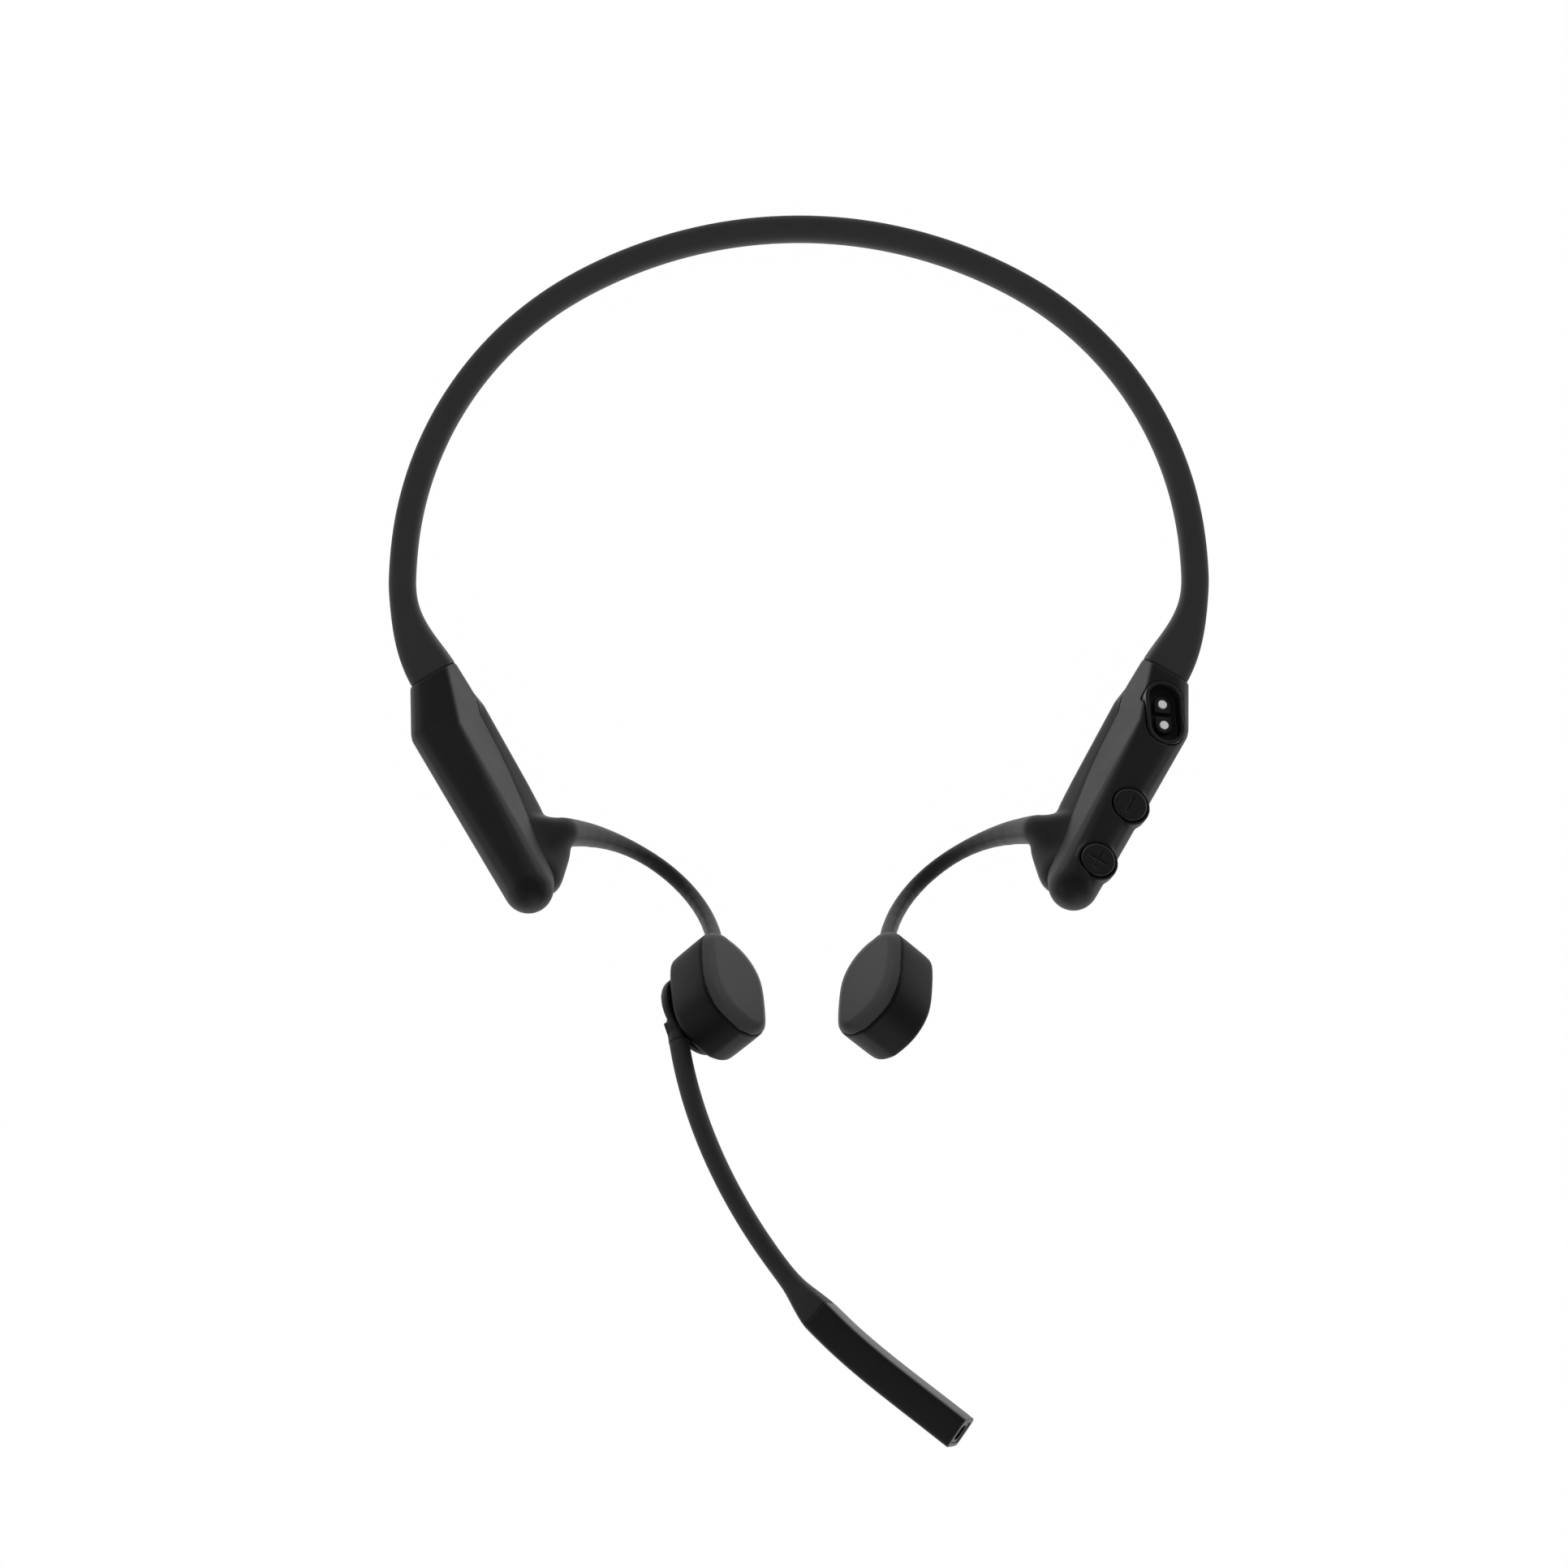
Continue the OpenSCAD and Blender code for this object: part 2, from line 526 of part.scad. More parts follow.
// ---- Ear hooks: one cubic curve from the housing's inner side to the pod's far end ----
hook_entry = from_pod([pod_length / 2 - pod_wall - 0.3, 0, -4.8]);
hook_root_s = housing_length - 4.9;
hook_root = from_housing([hook_root_s, -5.8, face_low(hook_root_s) + 2.9]);
hook_curve = [hook_root, hook_root + [-10.4, -0.3, -30.2], hook_entry + [-0.3, 7.7, -34.2], hook_entry];
hook_start = from_housing([hook_root_s + 0.8, -3, face_low(hook_root_s) + 3.6]);
hook_steps = 20;
function hook_radius(t) = mix(hook_d, hook_root_d, pow(max(0, 1 - t / 0.4), 2)) / 2
    + 0.1 * ease((t - 0.8) / 0.2);
hook_side = [0.5, -0.85, 0];
function hook_rings(r, sides, tail) = concat(
    [set_ring(round_ring(r(0), sides), hook_start, square_to(hook_side, unit(hook_root - hook_start)),
        cross(unit(hook_root - hook_start), square_to(hook_side, unit(hook_root - hook_start))))],
    [for (k = [0:hook_steps]) let (t = k / hook_steps, d = bezier_slope(hook_curve, t))
        set_ring(round_ring(r(t), sides), bezier(hook_curve, t) + (k == hook_steps ? tail * d : [0, 0, 0]),
            square_to(hook_side, d), cross(d, square_to(hook_side, d)))]);
hook_end_slope = bezier_slope(hook_curve, 1);
// Straight cylinder along the hook's end, for the pod's socket
module at_hook_end() {
    side = square_to(hook_side, hook_end_slope);
    up = cross(hook_end_slope, side);
    multmatrix([[side[0], up[0], hook_end_slope[0], hook_entry[0]],
        [side[1], up[1], hook_end_slope[1], hook_entry[1]],
        [side[2], up[2], hook_end_slope[2], hook_entry[2]], [0, 0, 0, 1]]) children();
}
module ear_hook() difference() {
    union() {
        at_housing() difference() {
            intersection() {
                union() {
                    rear_form();
                    front_form();
                    cover_form();
                }
                below_parting();
            }
            cavity();
        }
        skin(hook_rings(function(t) hook_radius(t), 12, 0));
    }
    skin(hook_rings(function(t) hook_wire_d / 2 + loose, 8, cut));
}
module ear_hook_wire() color(steel) skin(hook_rings(function(t) hook_wire_d / 2, 6, -loose));
module ear_hook_left() color(silicone) on_left() ear_hook();
module ear_hook_right() color(silicone) ear_hook();
module ear_hook_wire_left() on_left() ear_hook_wire();
module ear_hook_wire_right() ear_hook_wire();

module hook_socket() at_hook_end() translate([0, 0, -4]) cylinder(r = hook_radius(1) + fit, h = 4.6, $fn = smooth);
module pod_shell_right() color(plastic) difference() {
    at_pod() pod_cup();
    hook_socket();
}
module ear_pad_left() color(silicone) on_left() ear_pad();
module ear_pad_right() color(silicone) ear_pad();

// ---- Transducers ----
yoke_d = 9.8;
coil_d = 8.4;
coil_wall = 0.75;
pole_d = 6.4;
drive_low = -pad_height - 0.1;
inner_floor = pod_wall - pod_depth;
module drive_plate() color(steel) at_pod() {
    skin([pod_level(-pod_wall - 0.3, drive_low - 0.4), pod_level(-pod_wall - 0.3, drive_low)]);
}
module voice_coil() color(copper) at_pod() translate([0, 0, drive_low - 0.4 - 2.4]) difference() {
    cylinder(d = coil_d, h = 2.4, $fn = smooth);
    translate([0, 0, -cut]) cylinder(d = coil_d - 2 * coil_wall, h = 2.4 + 2 * cut, $fn = smooth);
}
module pole_plate() color(steel) at_pod() translate([0, 0, inner_floor + 3.2]) cylinder(d = pole_d, h = 0.7, $fn = smooth);
module magnet() color(steel) at_pod() translate([0, 0, inner_floor + 1]) cylinder(d = pole_d - 0.2, h = 2.2, $fn = smooth);
module yoke() color(steel) at_pod() translate([0, 0, inner_floor]) difference() {
    cylinder(d = yoke_d, h = 3.9, $fn = smooth);
    translate([0, 0, 1]) cylinder(d = coil_d + 0.4, h = 3.9, $fn = smooth);
}
module drive_plate_left() on_left() drive_plate();
module drive_plate_right() drive_plate();
module voice_coil_left() on_left() voice_coil();
module voice_coil_right() voice_coil();
module pole_plate_left() on_left() pole_plate();
module pole_plate_right() pole_plate();
module magnet_left() on_left() magnet();
module magnet_right() magnet();
module yoke_left() on_left() yoke();
module yoke_right() yoke();

// ---- Boom pivot on the left pod's outer face; heights run outwards from that face ----
module at_pivot() on_left() at_pod() translate(pivot_at - [0, 0, pod_depth]) mirror([0, 0, 1]) children();
pivot_at = [-0.7, 0.3, 0];
washer_h = 0.25;
hub_low = washer_h + loose;
hub_top = hub_low + hub_height;
retainer_h = 0.6;
retainer_d = 9.8;
boss_top = hub_top - retainer_h;
boss_bore = call_button_d + 1.2;
flange_h = 0.6;
call_top = hub_top + 0.3;
call_shelf = -0.5;
switch_rise = 0.85;   // height of the switch and its plunger
module pod_shell_left() color(plastic) {
    difference() {
        union() {
            on_left() at_pod() pod_cup();
            at_pivot() translate([0, 0, -0.6]) cylinder(d = boss_d, h = boss_top + 0.6, $fn = smooth);
        }
        on_left() hook_socket();
        at_pivot() {
            translate([0, 0, call_shelf]) cylinder(d = boss_bore, h = boss_top + cut, $fn = smooth);
            translate([0, 0, -pod_wall - cut]) cylinder(d = 2, h = 2 * pod_wall, $fn = smooth);
        }
    }
}
module friction_washer() color(steel) at_pivot() translate([0, 0, 0.02]) difference() {
    cylinder(d = pod_width - 2 * edge_round - 0.4, h = washer_h, $fn = smooth);
    translate([0, 0, -cut]) cylinder(d = boss_d + 2 * loose, h = 3, $fn = smooth);
}
module pivot_retainer() color(plastic) at_pivot() translate([0, 0, boss_top]) difference() {
    cylinder(d = retainer_d, h = retainer_h, $fn = smooth);
    translate([0, 0, -cut]) cylinder(d = call_button_d + 2 * loose, h = 3, $fn = smooth);
}
module multifunction_switch() color(steel) at_pivot() translate([0, 0, call_shelf]) {
    cylinder(d = 3.6, h = 0.6, $fn = smooth);
    cylinder(d = 1.4, h = switch_rise, $fn = smooth);
}
flange_top = boss_top - loose;
module multifunction_button() color(plastic) at_pivot() {
    translate([0, 0, flange_top - flange_h]) cylinder(d = boss_bore - 2 * loose, h = flange_h, $fn = smooth);
    translate([0, 0, flange_top - 0.1]) cylinder(d = call_button_d, h = call_top - flange_top - 0.1, $fn = smooth);
    translate([0, 0, call_top - 0.2]) cylinder(d1 = call_button_d, d2 = call_button_d - 0.4, h = 0.2, $fn = smooth);
    stem_low = call_shelf + switch_rise + call_button_travel + loose;
    translate([0, 0, stem_low]) cylinder(d = 2, h = flange_top - stem_low, $fn = smooth);
}

// ---- Boom: hub frame with X forwards, Y towards the wearer's feet and Z towards the head ----
hub_forward = square_to([-0.639, -0.769, 0], pad_axis);
hub_down = cross(pad_axis, hub_forward);
hub_mid = -pod_depth - hub_low - hub_height / 2;
hub_centre = from_pod(pivot_at + [0, 0, hub_mid]);
function from_hub(p) = hub_centre + p[0] * hub_forward + p[1] * hub_down + p[2] * pad_axis;
arm_curve = [[0.8, 8, -0.3], [12.7, 20, -1.5], [27.7, 29.1, 0.4], [42.7, 35.1, 5.2]];
// The microphone housing carries straight on from the arm's end
tip_start = arm_curve[3];
tip_curve = [tip_start, tip_start + 8.8 * bezier_slope(arm_curve, 1), [58.6, 40.1, 11.8], [66.9, 42.2, 15.2]];
arm_steps = 18;
tip_steps = 6;
boom_twist = 15;      // turn of the boom's section about its length
arm_round = 1.1;
mic_round = 0.6;
function boom_up(d) = let (u = square_to([0, 0, 1], d)) cos(boom_twist) * u - sin(boom_twist) * cross(u, d);
function boom_ring(ring, curve, t) = let (d = bezier_slope(curve, t), up = boom_up(d))
    [for (p = set_ring(ring, bezier(curve, t), cross(up, d), up)) from_hub(p)];
arm_flare = 0.86;     // share of the arm after which it swells into the microphone housing
function arm_ring(t) = let (f = ease((t - arm_flare) / (1 - arm_flare)))
    let (w = mix(arm_width, mic_width, f) / 2, h = mix(arm_thickness, mic_thickness, f) / 2)
    box_ring(-w, w, -h, h, mix(arm_round, mic_round, f));
boom_wire_d = 1;
function core_ring(r) = [for (p = box_ring(-r, r, -r, r, r * 0.99)) p];
module boom_arm() color(rubber) on_left() skin(concat(
    [for (k = [0:arm_steps]) boom_ring(arm_ring(k / arm_steps), arm_curve, k / arm_steps)],
    [for (k = [arm_steps:-1:0]) boom_ring(core_ring(boom_wire_d / 2 + loose), arm_curve, k / arm_steps)]),
    looped = true);
stem_dir = bezier_slope(arm_curve, 0);
wire_tail_boom = 2.2;
stem_reach = 3.6;     // how far the stem runs back from the arm's seam into the hub
module boom_wire() color(steel) on_left() skin([for (k = [-1:arm_steps + 1])
    let (t = min(max(k / arm_steps, 0), 1), d = bezier_slope(arm_curve, t), up = boom_up(d))
    let (shift = (k < 0 ? -1 : (k > arm_steps ? 1 : 0)) * wire_tail_boom)
    [for (p = set_ring(round_ring(boom_wire_d / 2, 6), bezier(arm_curve, t) + shift * d, cross(up, d), up))
        from_hub(p)]]);
module at_hub() on_left() multmatrix([
    [hub_forward[0], hub_down[0], pad_axis[0], hub_centre[0]],
    [hub_forward[1], hub_down[1], pad_axis[1], hub_centre[1]],
    [hub_forward[2], hub_down[2], pad_axis[2], hub_centre[2]],
    [0, 0, 0, 1]]) children();
stem_up = boom_up(stem_dir);
stem_side = cross(stem_up, stem_dir);
module at_stem() multmatrix([
    [stem_side[0], stem_up[0], stem_dir[0], arm_curve[0][0]],
    [stem_side[1], stem_up[1], stem_dir[1], arm_curve[0][1]],
    [stem_side[2], stem_up[2], stem_dir[2], arm_curve[0][2]],
    [0, 0, 0, 1]]) children();
module boom_hub() color(plastic) at_hub() difference() {
    union() {
        rotate_extrude($fn = 96) polygon([[1, -hub_height / 2], [hub_d / 2 - 1.7, -hub_height / 2],
            [hub_d / 2, hub_height / 2 - hub_rim], [hub_d / 2, hub_height / 2 - 0.2],
            [hub_d / 2 - 0.2, hub_height / 2], [1, hub_height / 2]]);
        intersection() {
            at_stem() translate([-arm_width / 2, -arm_thickness / 2, -stem_reach])
                cube([arm_width, arm_thickness, stem_reach]);
            translate([-big / 2, -big / 2, -big + hub_height / 2]) cube(big);
        }
    }
    cylinder(d = boss_d + 2 * pivot_gap, h = 4 * hub_height, center = true, $fn = smooth);
    translate([0, 0, -hub_height / 2 - cut]) cylinder(d = retainer_d + 4 * loose, h = retainer_h + loose + cut, $fn = smooth);
    at_stem() translate([0, 0, -wire_tail_boom - loose]) cylinder(d = boom_wire_d + 2 * loose, h = 4, $fn = smooth);
}
mic_wall = 0.7;
module microphone_housing() color(plastic) on_left() skin(concat(
    [for (k = [0:tip_steps]) boom_ring(box_ring(-mic_width / 2, mic_width / 2, -mic_thickness / 2,
        mic_thickness / 2, mic_round), tip_curve, k / tip_steps)],
    [for (k = [tip_steps:-1:0]) boom_ring(box_ring(mic_wall - mic_width / 2, mic_width / 2 - mic_wall,
        mic_wall - mic_thickness / 2, mic_thickness / 2 - mic_wall, 0.4), tip_curve, k / tip_steps)]),
    looped = true);
tip_dir = bezier_slope(tip_curve, 1);
tip_up = boom_up(tip_dir);
tip_side = cross(tip_up, tip_dir);
module at_tip() at_hub() multmatrix([
    [tip_side[0], tip_up[0], tip_dir[0], tip_curve[3][0]],
    [tip_side[1], tip_up[1], tip_dir[1], tip_curve[3][1]],
    [tip_side[2], tip_up[2], tip_dir[2], tip_curve[3][2]],
    [0, 0, 0, 1]]) children();
cap_w = mic_width - 2 * mic_wall - 2 * fit;
cap_h = mic_thickness - 2 * mic_wall - 2 * fit;
cap_thick = 0.8;
slot_w = 1.7;
slot_l = 2.6;
cap_round = 0.4;
// Rectangle with round corners, built from exact rounds
module cap_outline() {
    square([cap_w - 2 * cap_round, cap_h], center = true);
    square([cap_w, cap_h - 2 * cap_round], center = true);
    for (x = [-1, 1], y = [-1, 1])
        translate([x * (cap_w / 2 - cap_round), y * (cap_h / 2 - cap_round)]) circle(cap_round, $fn = smooth);
}
module microphone_end_cap() color(plastic) at_tip() difference() {
    translate([0, 0, -cap_thick - 0.15]) linear_extrude(cap_thick) cap_outline();
    translate([0, 0, -3]) linear_extrude(6) rotate(90) stadium(slot_l, slot_w);
}
module microphone_mesh() color(steel) at_tip() translate([0, 0, -cap_thick - 0.4])
    linear_extrude(0.2) cap_outline();
module microphone_capsule() color(steel) at_tip() translate([0, 0, -cap_thick - 0.5 - 2]) difference() {
    cylinder(d = min(cap_w, cap_h) - 0.2, h = 2, $fn = smooth);
    translate([0, 0, 1.8]) cylinder(d = 0.8, h = 1, $fn = smooth);
}

neckband_sleeve();
neckband_wire();
neckband_cable();
housing_shell_left();
housing_shell_right();
ear_hook_left();
ear_hook_right();
ear_hook_wire_left();
ear_hook_wire_right();
battery_cell();
battery_board();
main_board();
volume_switches();
volume_button(minus_at, false);  // volume_minus_button
volume_button(plus_at, true);  // volume_plus_button
charge_port_bezel();
charge_contacts();
charge_magnets();
pod_shell_left();
pod_shell_right();
ear_pad_left();
ear_pad_right();
drive_plate_left();
drive_plate_right();
voice_coil_left();
voice_coil_right();
pole_plate_left();
pole_plate_right();
magnet_left();
magnet_right();
yoke_left();
yoke_right();
friction_washer();
pivot_retainer();
multifunction_switch();
multifunction_button();
boom_hub();
boom_arm();
boom_wire();
microphone_housing();
microphone_capsule();
microphone_mesh();
microphone_end_cap();
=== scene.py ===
import bisect
import json
import math

import bmesh
import bpy
from mathutils import Matrix, Vector


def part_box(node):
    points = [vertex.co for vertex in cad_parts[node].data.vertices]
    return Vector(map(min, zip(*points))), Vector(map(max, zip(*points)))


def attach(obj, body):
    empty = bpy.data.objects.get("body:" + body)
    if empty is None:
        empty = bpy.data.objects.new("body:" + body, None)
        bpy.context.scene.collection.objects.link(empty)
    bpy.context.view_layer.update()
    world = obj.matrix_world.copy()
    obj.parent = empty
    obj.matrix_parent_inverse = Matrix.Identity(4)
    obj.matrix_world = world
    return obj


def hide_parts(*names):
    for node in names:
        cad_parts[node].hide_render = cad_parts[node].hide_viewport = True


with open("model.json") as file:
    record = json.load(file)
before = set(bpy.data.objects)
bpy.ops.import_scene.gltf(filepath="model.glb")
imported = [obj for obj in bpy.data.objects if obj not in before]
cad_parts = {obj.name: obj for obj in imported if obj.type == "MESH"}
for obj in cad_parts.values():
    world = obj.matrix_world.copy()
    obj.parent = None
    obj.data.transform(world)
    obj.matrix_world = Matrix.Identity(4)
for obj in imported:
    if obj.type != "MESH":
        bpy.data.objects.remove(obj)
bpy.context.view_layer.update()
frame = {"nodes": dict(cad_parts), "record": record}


# ---- Camera and studio -------------------------------------------------------------------
# The headset is seen from straight above, through a long lens, on a white sweep. A white dome
# lights it evenly; in its gloss the dome is white only along the horizon, as round a dark camera.
view_height = 0.580
view_width = 0.2538
view_middle = (-0.00251, 0.00145)
view_turn = -0.00535
film_width = 36
camera_data = bpy.data.cameras.new("camera")
camera_data.sensor_width = film_width
camera_data.lens = film_width * view_height / view_width
camera_data.clip_start = 0.01
camera_data.clip_end = 10
camera = bpy.data.objects.new("camera", camera_data)
camera.location = (*view_middle, view_height)
camera.rotation_euler = (0, 0, view_turn)
bpy.context.scene.collection.objects.link(camera)
bpy.context.scene.camera = camera
bpy.context.scene.view_settings.view_transform = "Standard"

sweep_reach = 2.5
floor_shape = bmesh.new()
bmesh.ops.create_grid(floor_shape, x_segments=1, y_segments=1, size=sweep_reach)
floor_mesh = bpy.data.meshes.new("sweep")
floor_shape.to_mesh(floor_mesh)
floor_shape.free()
sweep = bpy.data.objects.new("sweep", floor_mesh)
bpy.context.scene.collection.objects.link(sweep)


def add_node(tree, kind, values=None, operation=None):
    """A shader node with the values of its sockets."""
    node = tree.nodes.new(kind)
    if operation:
        node.operation = operation
    for socket, value in (values or {}).items():
        node.inputs[socket].default_value = value
    return node


white = (1, 1, 1, 1)
paper = (0.9, 0.9, 0.9, 1)
glow_share = 0.99

# Seen straight or in the gloss the sweep is white; to the lamps it is paper and takes shadows
sweep_paint = bpy.data.materials.new("sweep_paint")
sweep_paint.use_nodes = True
tree = sweep_paint.node_tree
tree.nodes.clear()
link = tree.links.new
seen = add_node(tree, "ShaderNodeLightPath")
matt = add_node(tree, "ShaderNodeBsdfDiffuse", {"Color": paper})
glow = add_node(tree, "ShaderNodeEmission", {"Color": white, "Strength": 1})
direct = add_node(tree, "ShaderNodeMath", operation="MAXIMUM")
share = add_node(tree, "ShaderNodeMath", {1: glow_share}, "MULTIPLY")
blend = add_node(tree, "ShaderNodeMixShader")
out = add_node(tree, "ShaderNodeOutputMaterial")
link(seen.outputs["Is Camera Ray"], direct.inputs[0])
link(seen.outputs["Is Glossy Ray"], direct.inputs[1])
link(direct.outputs[0], share.inputs[0])
link(share.outputs[0], blend.inputs[0])
link(matt.outputs[0], blend.inputs[1])
link(glow.outputs[0], blend.inputs[2])
link(blend.outputs[0], out.inputs["Surface"])
floor_mesh.materials.append(sweep_paint)

# How high over the horizon the gloss still meets white, and what it meets overhead
fade_start = -0.1
fade_end = 0.14
overhead = 0.07
even_light = 0.8

dome = bpy.data.worlds.new("dome")
dome.use_nodes = True
bpy.context.scene.world = dome
tree = dome.node_tree
tree.nodes.clear()
link = tree.links.new
seen = add_node(tree, "ShaderNodeLightPath")
sky = add_node(tree, "ShaderNodeTexCoord")
height = add_node(tree, "ShaderNodeSeparateXYZ")
fade = add_node(tree, "ShaderNodeMapRange", {
    "From Min": fade_start, "From Max": fade_end, "To Min": 1, "To Max": overhead})
fade.interpolation_type = "SMOOTHSTEP"
evenly = add_node(tree, "ShaderNodeMath", {1: even_light}, "MULTIPLY_ADD")
evenly.use_clamp = True
lit = add_node(tree, "ShaderNodeBackground", {"Color": white})
shown = add_node(tree, "ShaderNodeBackground", {"Color": white, "Strength": 1})
blend = add_node(tree, "ShaderNodeMixShader")
out = add_node(tree, "ShaderNodeOutputWorld")
link(sky.outputs["Generated"], height.inputs[0])
link(height.outputs["Z"], fade.inputs["Value"])
link(seen.outputs["Is Diffuse Ray"], evenly.inputs[0])
link(fade.outputs[0], evenly.inputs[2])
link(evenly.outputs[0], lit.inputs["Strength"])
link(seen.outputs["Is Camera Ray"], blend.inputs[0])
link(lit.outputs[0], blend.inputs[1])
link(shown.outputs[0], blend.inputs[2])
link(blend.outputs[0], out.inputs["Surface"])

lamp_width = 0.6
lamp_aim = Vector((0, 0, 0.03))
for name, place, power in (("key", (0.3, -0.75, 0.45), 0.8), ("fill", (-0.75, -0.3, 0.4), 0.4)):
    lamp = bpy.data.lights.new(name, "AREA")
    lamp.shape = "DISK"
    lamp.size = lamp_width
    lamp.energy = power
    stand = bpy.data.objects.new(name, lamp)
    stand.location = place
    stand.rotation_mode = "QUATERNION"
    stand.rotation_quaternion = (lamp_aim - Vector(place)).to_track_quat("-Z", "Y")
    bpy.context.scene.collection.objects.link(stand)


# ---- Neckband sleeve ---------------------------------------------------------------------
# Matt silicone tube moulded over the spring wire and the cable. It swells at both ends into the
# section of the housings, and its skin is as fine as blotting paper, with a few smoother spots.
def new_group(name, inputs, outputs):
    """An empty node group with named sockets, and its two ends."""
    group = bpy.data.node_groups.new(name, "ShaderNodeTree")
    for label, kind, value in inputs:
        socket = group.interface.new_socket(label, in_out="INPUT", socket_type=kind)
        socket.default_value = value
    for label, kind in outputs:
        group.interface.new_socket(label, in_out="OUTPUT", socket_type=kind)
    return group, group.nodes.new("NodeGroupInput"), group.nodes.new("NodeGroupOutput")


def moulded_surface():
    """Grain, handling marks and softened edges of anything that comes out of a mould."""
    group, given, result = new_group("moulded_surface", (
        ("Colour", "NodeSocketColor", (0.02, 0.02, 0.02, 1)),
        ("Worn and sheen colour", "NodeSocketColor", (0.04, 0.04, 0.04, 1)),
        ("Roughness", "NodeSocketFloat", 0.5),
        ("Grain", "NodeSocketFloat", 5000.0),
        ("Depth", "NodeSocketFloat", 0.3),
        ("Marks", "NodeSocketFloat", 0.1),
        ("Edge", "NodeSocketFloat", 0.00015),
        ("Wear and sheen", "NodeSocketFloat", 0.3),
    ), (
        ("Colour", "NodeSocketColor"),
        ("Roughness", "NodeSocketFloat"),
        ("Normal", "NodeSocketVector"),
    ))
    link = group.links.new
    place = add_node(group, "ShaderNodeTexCoord")
    # Fine grain left by the tool
    grain = add_node(group, "ShaderNodeTexNoise", {"Detail": 2})
    link(place.outputs["Object"], grain.inputs["Vector"])
    link(given.outputs["Grain"], grain.inputs["Scale"])
    # Broad marks left by hands, as much rougher as smoother
    marks = add_node(group, "ShaderNodeTexNoise", {"Scale": 140, "Detail": 4})
    centred = add_node(group, "ShaderNodeMath", {1: 0.5}, "SUBTRACT")
    amount = add_node(group, "ShaderNodeMath", operation="MULTIPLY")
    rough = add_node(group, "ShaderNodeMath", operation="ADD")
    rough.use_clamp = True
    link(place.outputs["Object"], marks.inputs["Vector"])
    link(marks.outputs["Fac"], centred.inputs[0])
    link(centred.outputs[0], amount.inputs[0])
    link(given.outputs["Marks"], amount.inputs[1])
    link(given.outputs["Roughness"], rough.inputs[0])
    link(amount.outputs[0], rough.inputs[1])
    # Edges take a lighter colour where the rounded normal leaves the flat one: scuffing from use,
    # and a painted sheen along the edges
    edge = add_node(group, "ShaderNodeBevel")
    edge.samples = 6
    plain = add_node(group, "ShaderNodeNewGeometry")
    likeness = add_node(group, "ShaderNodeVectorMath", operation="DOT_PRODUCT")
    rub_and_sheen_mask = add_node(group, "ShaderNodeMapRange", {"From Min": 0.995, "From Max": 0.88})
    rub_and_sheen_share = add_node(group, "ShaderNodeMath", operation="MULTIPLY")
    edge_wear_and_sheen = add_node(group, "ShaderNodeMix")
    edge_wear_and_sheen.data_type = "RGBA"
    link(given.outputs["Edge"], edge.inputs["Radius"])
    link(edge.outputs["Normal"], likeness.inputs[0])
    link(plain.outputs["Normal"], likeness.inputs[1])
    link(likeness.outputs["Value"], rub_and_sheen_mask.inputs["Value"])
    link(rub_and_sheen_mask.outputs[0], rub_and_sheen_share.inputs[0])
    link(given.outputs["Wear and sheen"], rub_and_sheen_share.inputs[1])
    link(rub_and_sheen_share.outputs[0], edge_wear_and_sheen.inputs["Factor"])
    link(given.outputs["Colour"], edge_wear_and_sheen.inputs["A"])
    link(given.outputs["Worn and sheen colour"], edge_wear_and_sheen.inputs["B"])
    # The marks lift the colour a little too
    lift = add_node(group, "ShaderNodeMath", {1: 0.9, 2: 1}, "MULTIPLY_ADD")
    tone = add_node(group, "ShaderNodeHueSaturation")
    link(amount.outputs[0], lift.inputs[0])
    link(lift.outputs[0], tone.inputs["Value"])
    link(edge_wear_and_sheen.outputs["Result"], tone.inputs["Color"])
    raised = add_node(group, "ShaderNodeBump", {"Distance": 0.00002})
    link(given.outputs["Depth"], raised.inputs["Strength"])
    link(grain.outputs["Fac"], raised.inputs["Height"])
    link(edge.outputs["Normal"], raised.inputs["Normal"])
    link(tone.outputs["Color"], result.inputs["Colour"])
    link(rough.outputs[0], result.inputs["Roughness"])
    link(raised.outputs["Normal"], result.inputs["Normal"])
    return group


moulded = moulded_surface()


def plain_material(name):
    """A new material, with its node tree and its shader."""
    material = bpy.data.materials.new(name)
    material.use_nodes = True
    return material, material.node_tree, material.node_tree.nodes["Principled BSDF"]


# The second colour and its share lighten the edges: scuffing from use, and a painted edge sheen
def moulded_material(name, colour, edge_wear_and_sheen, roughness, grain, depth, marks, edge, edge_wear_and_sheen_amount,
                     sheen=0, gloss=0.5):
    material, tree, shader = plain_material(name)
    shader.inputs["Sheen Weight"].default_value = sheen
    shader.inputs["Sheen Roughness"].default_value = 0.4
    shader.inputs["Specular IOR Level"].default_value = gloss
    surface = tree.nodes.new("ShaderNodeGroup")
    surface.node_tree = moulded
    for socket, value in (
        ("Colour", (*colour, 1)),
        ("Worn and sheen colour", (*edge_wear_and_sheen, 1)),
        ("Roughness", roughness),
        ("Grain", grain),
        ("Depth", depth),
        ("Marks", marks),
        ("Edge", edge),
        ("Wear and sheen", edge_wear_and_sheen_amount),
    ):
        surface.inputs[socket].default_value = value
    tree.links.new(surface.outputs["Colour"], shader.inputs["Base Color"])
    tree.links.new(surface.outputs["Roughness"], shader.inputs["Roughness"])
    tree.links.new(surface.outputs["Normal"], shader.inputs["Normal"])
    return material


weld = 0.000002
flat_angle = math.radians(0.6)


def joined_copy(node, flat=True):
    """The frame's solid as one skin, with the triangles of its flat faces joined."""
    shape = bmesh.new()
    shape.from_mesh(frame["nodes"][node].data)
    bmesh.ops.remove_doubles(shape, verts=shape.verts, dist=weld)
    if flat:
        bmesh.ops.dissolve_limit(shape, angle_limit=flat_angle, use_dissolve_boundaries=False,
                                 verts=shape.verts, edges=shape.edges, delimit=set())
    return shape


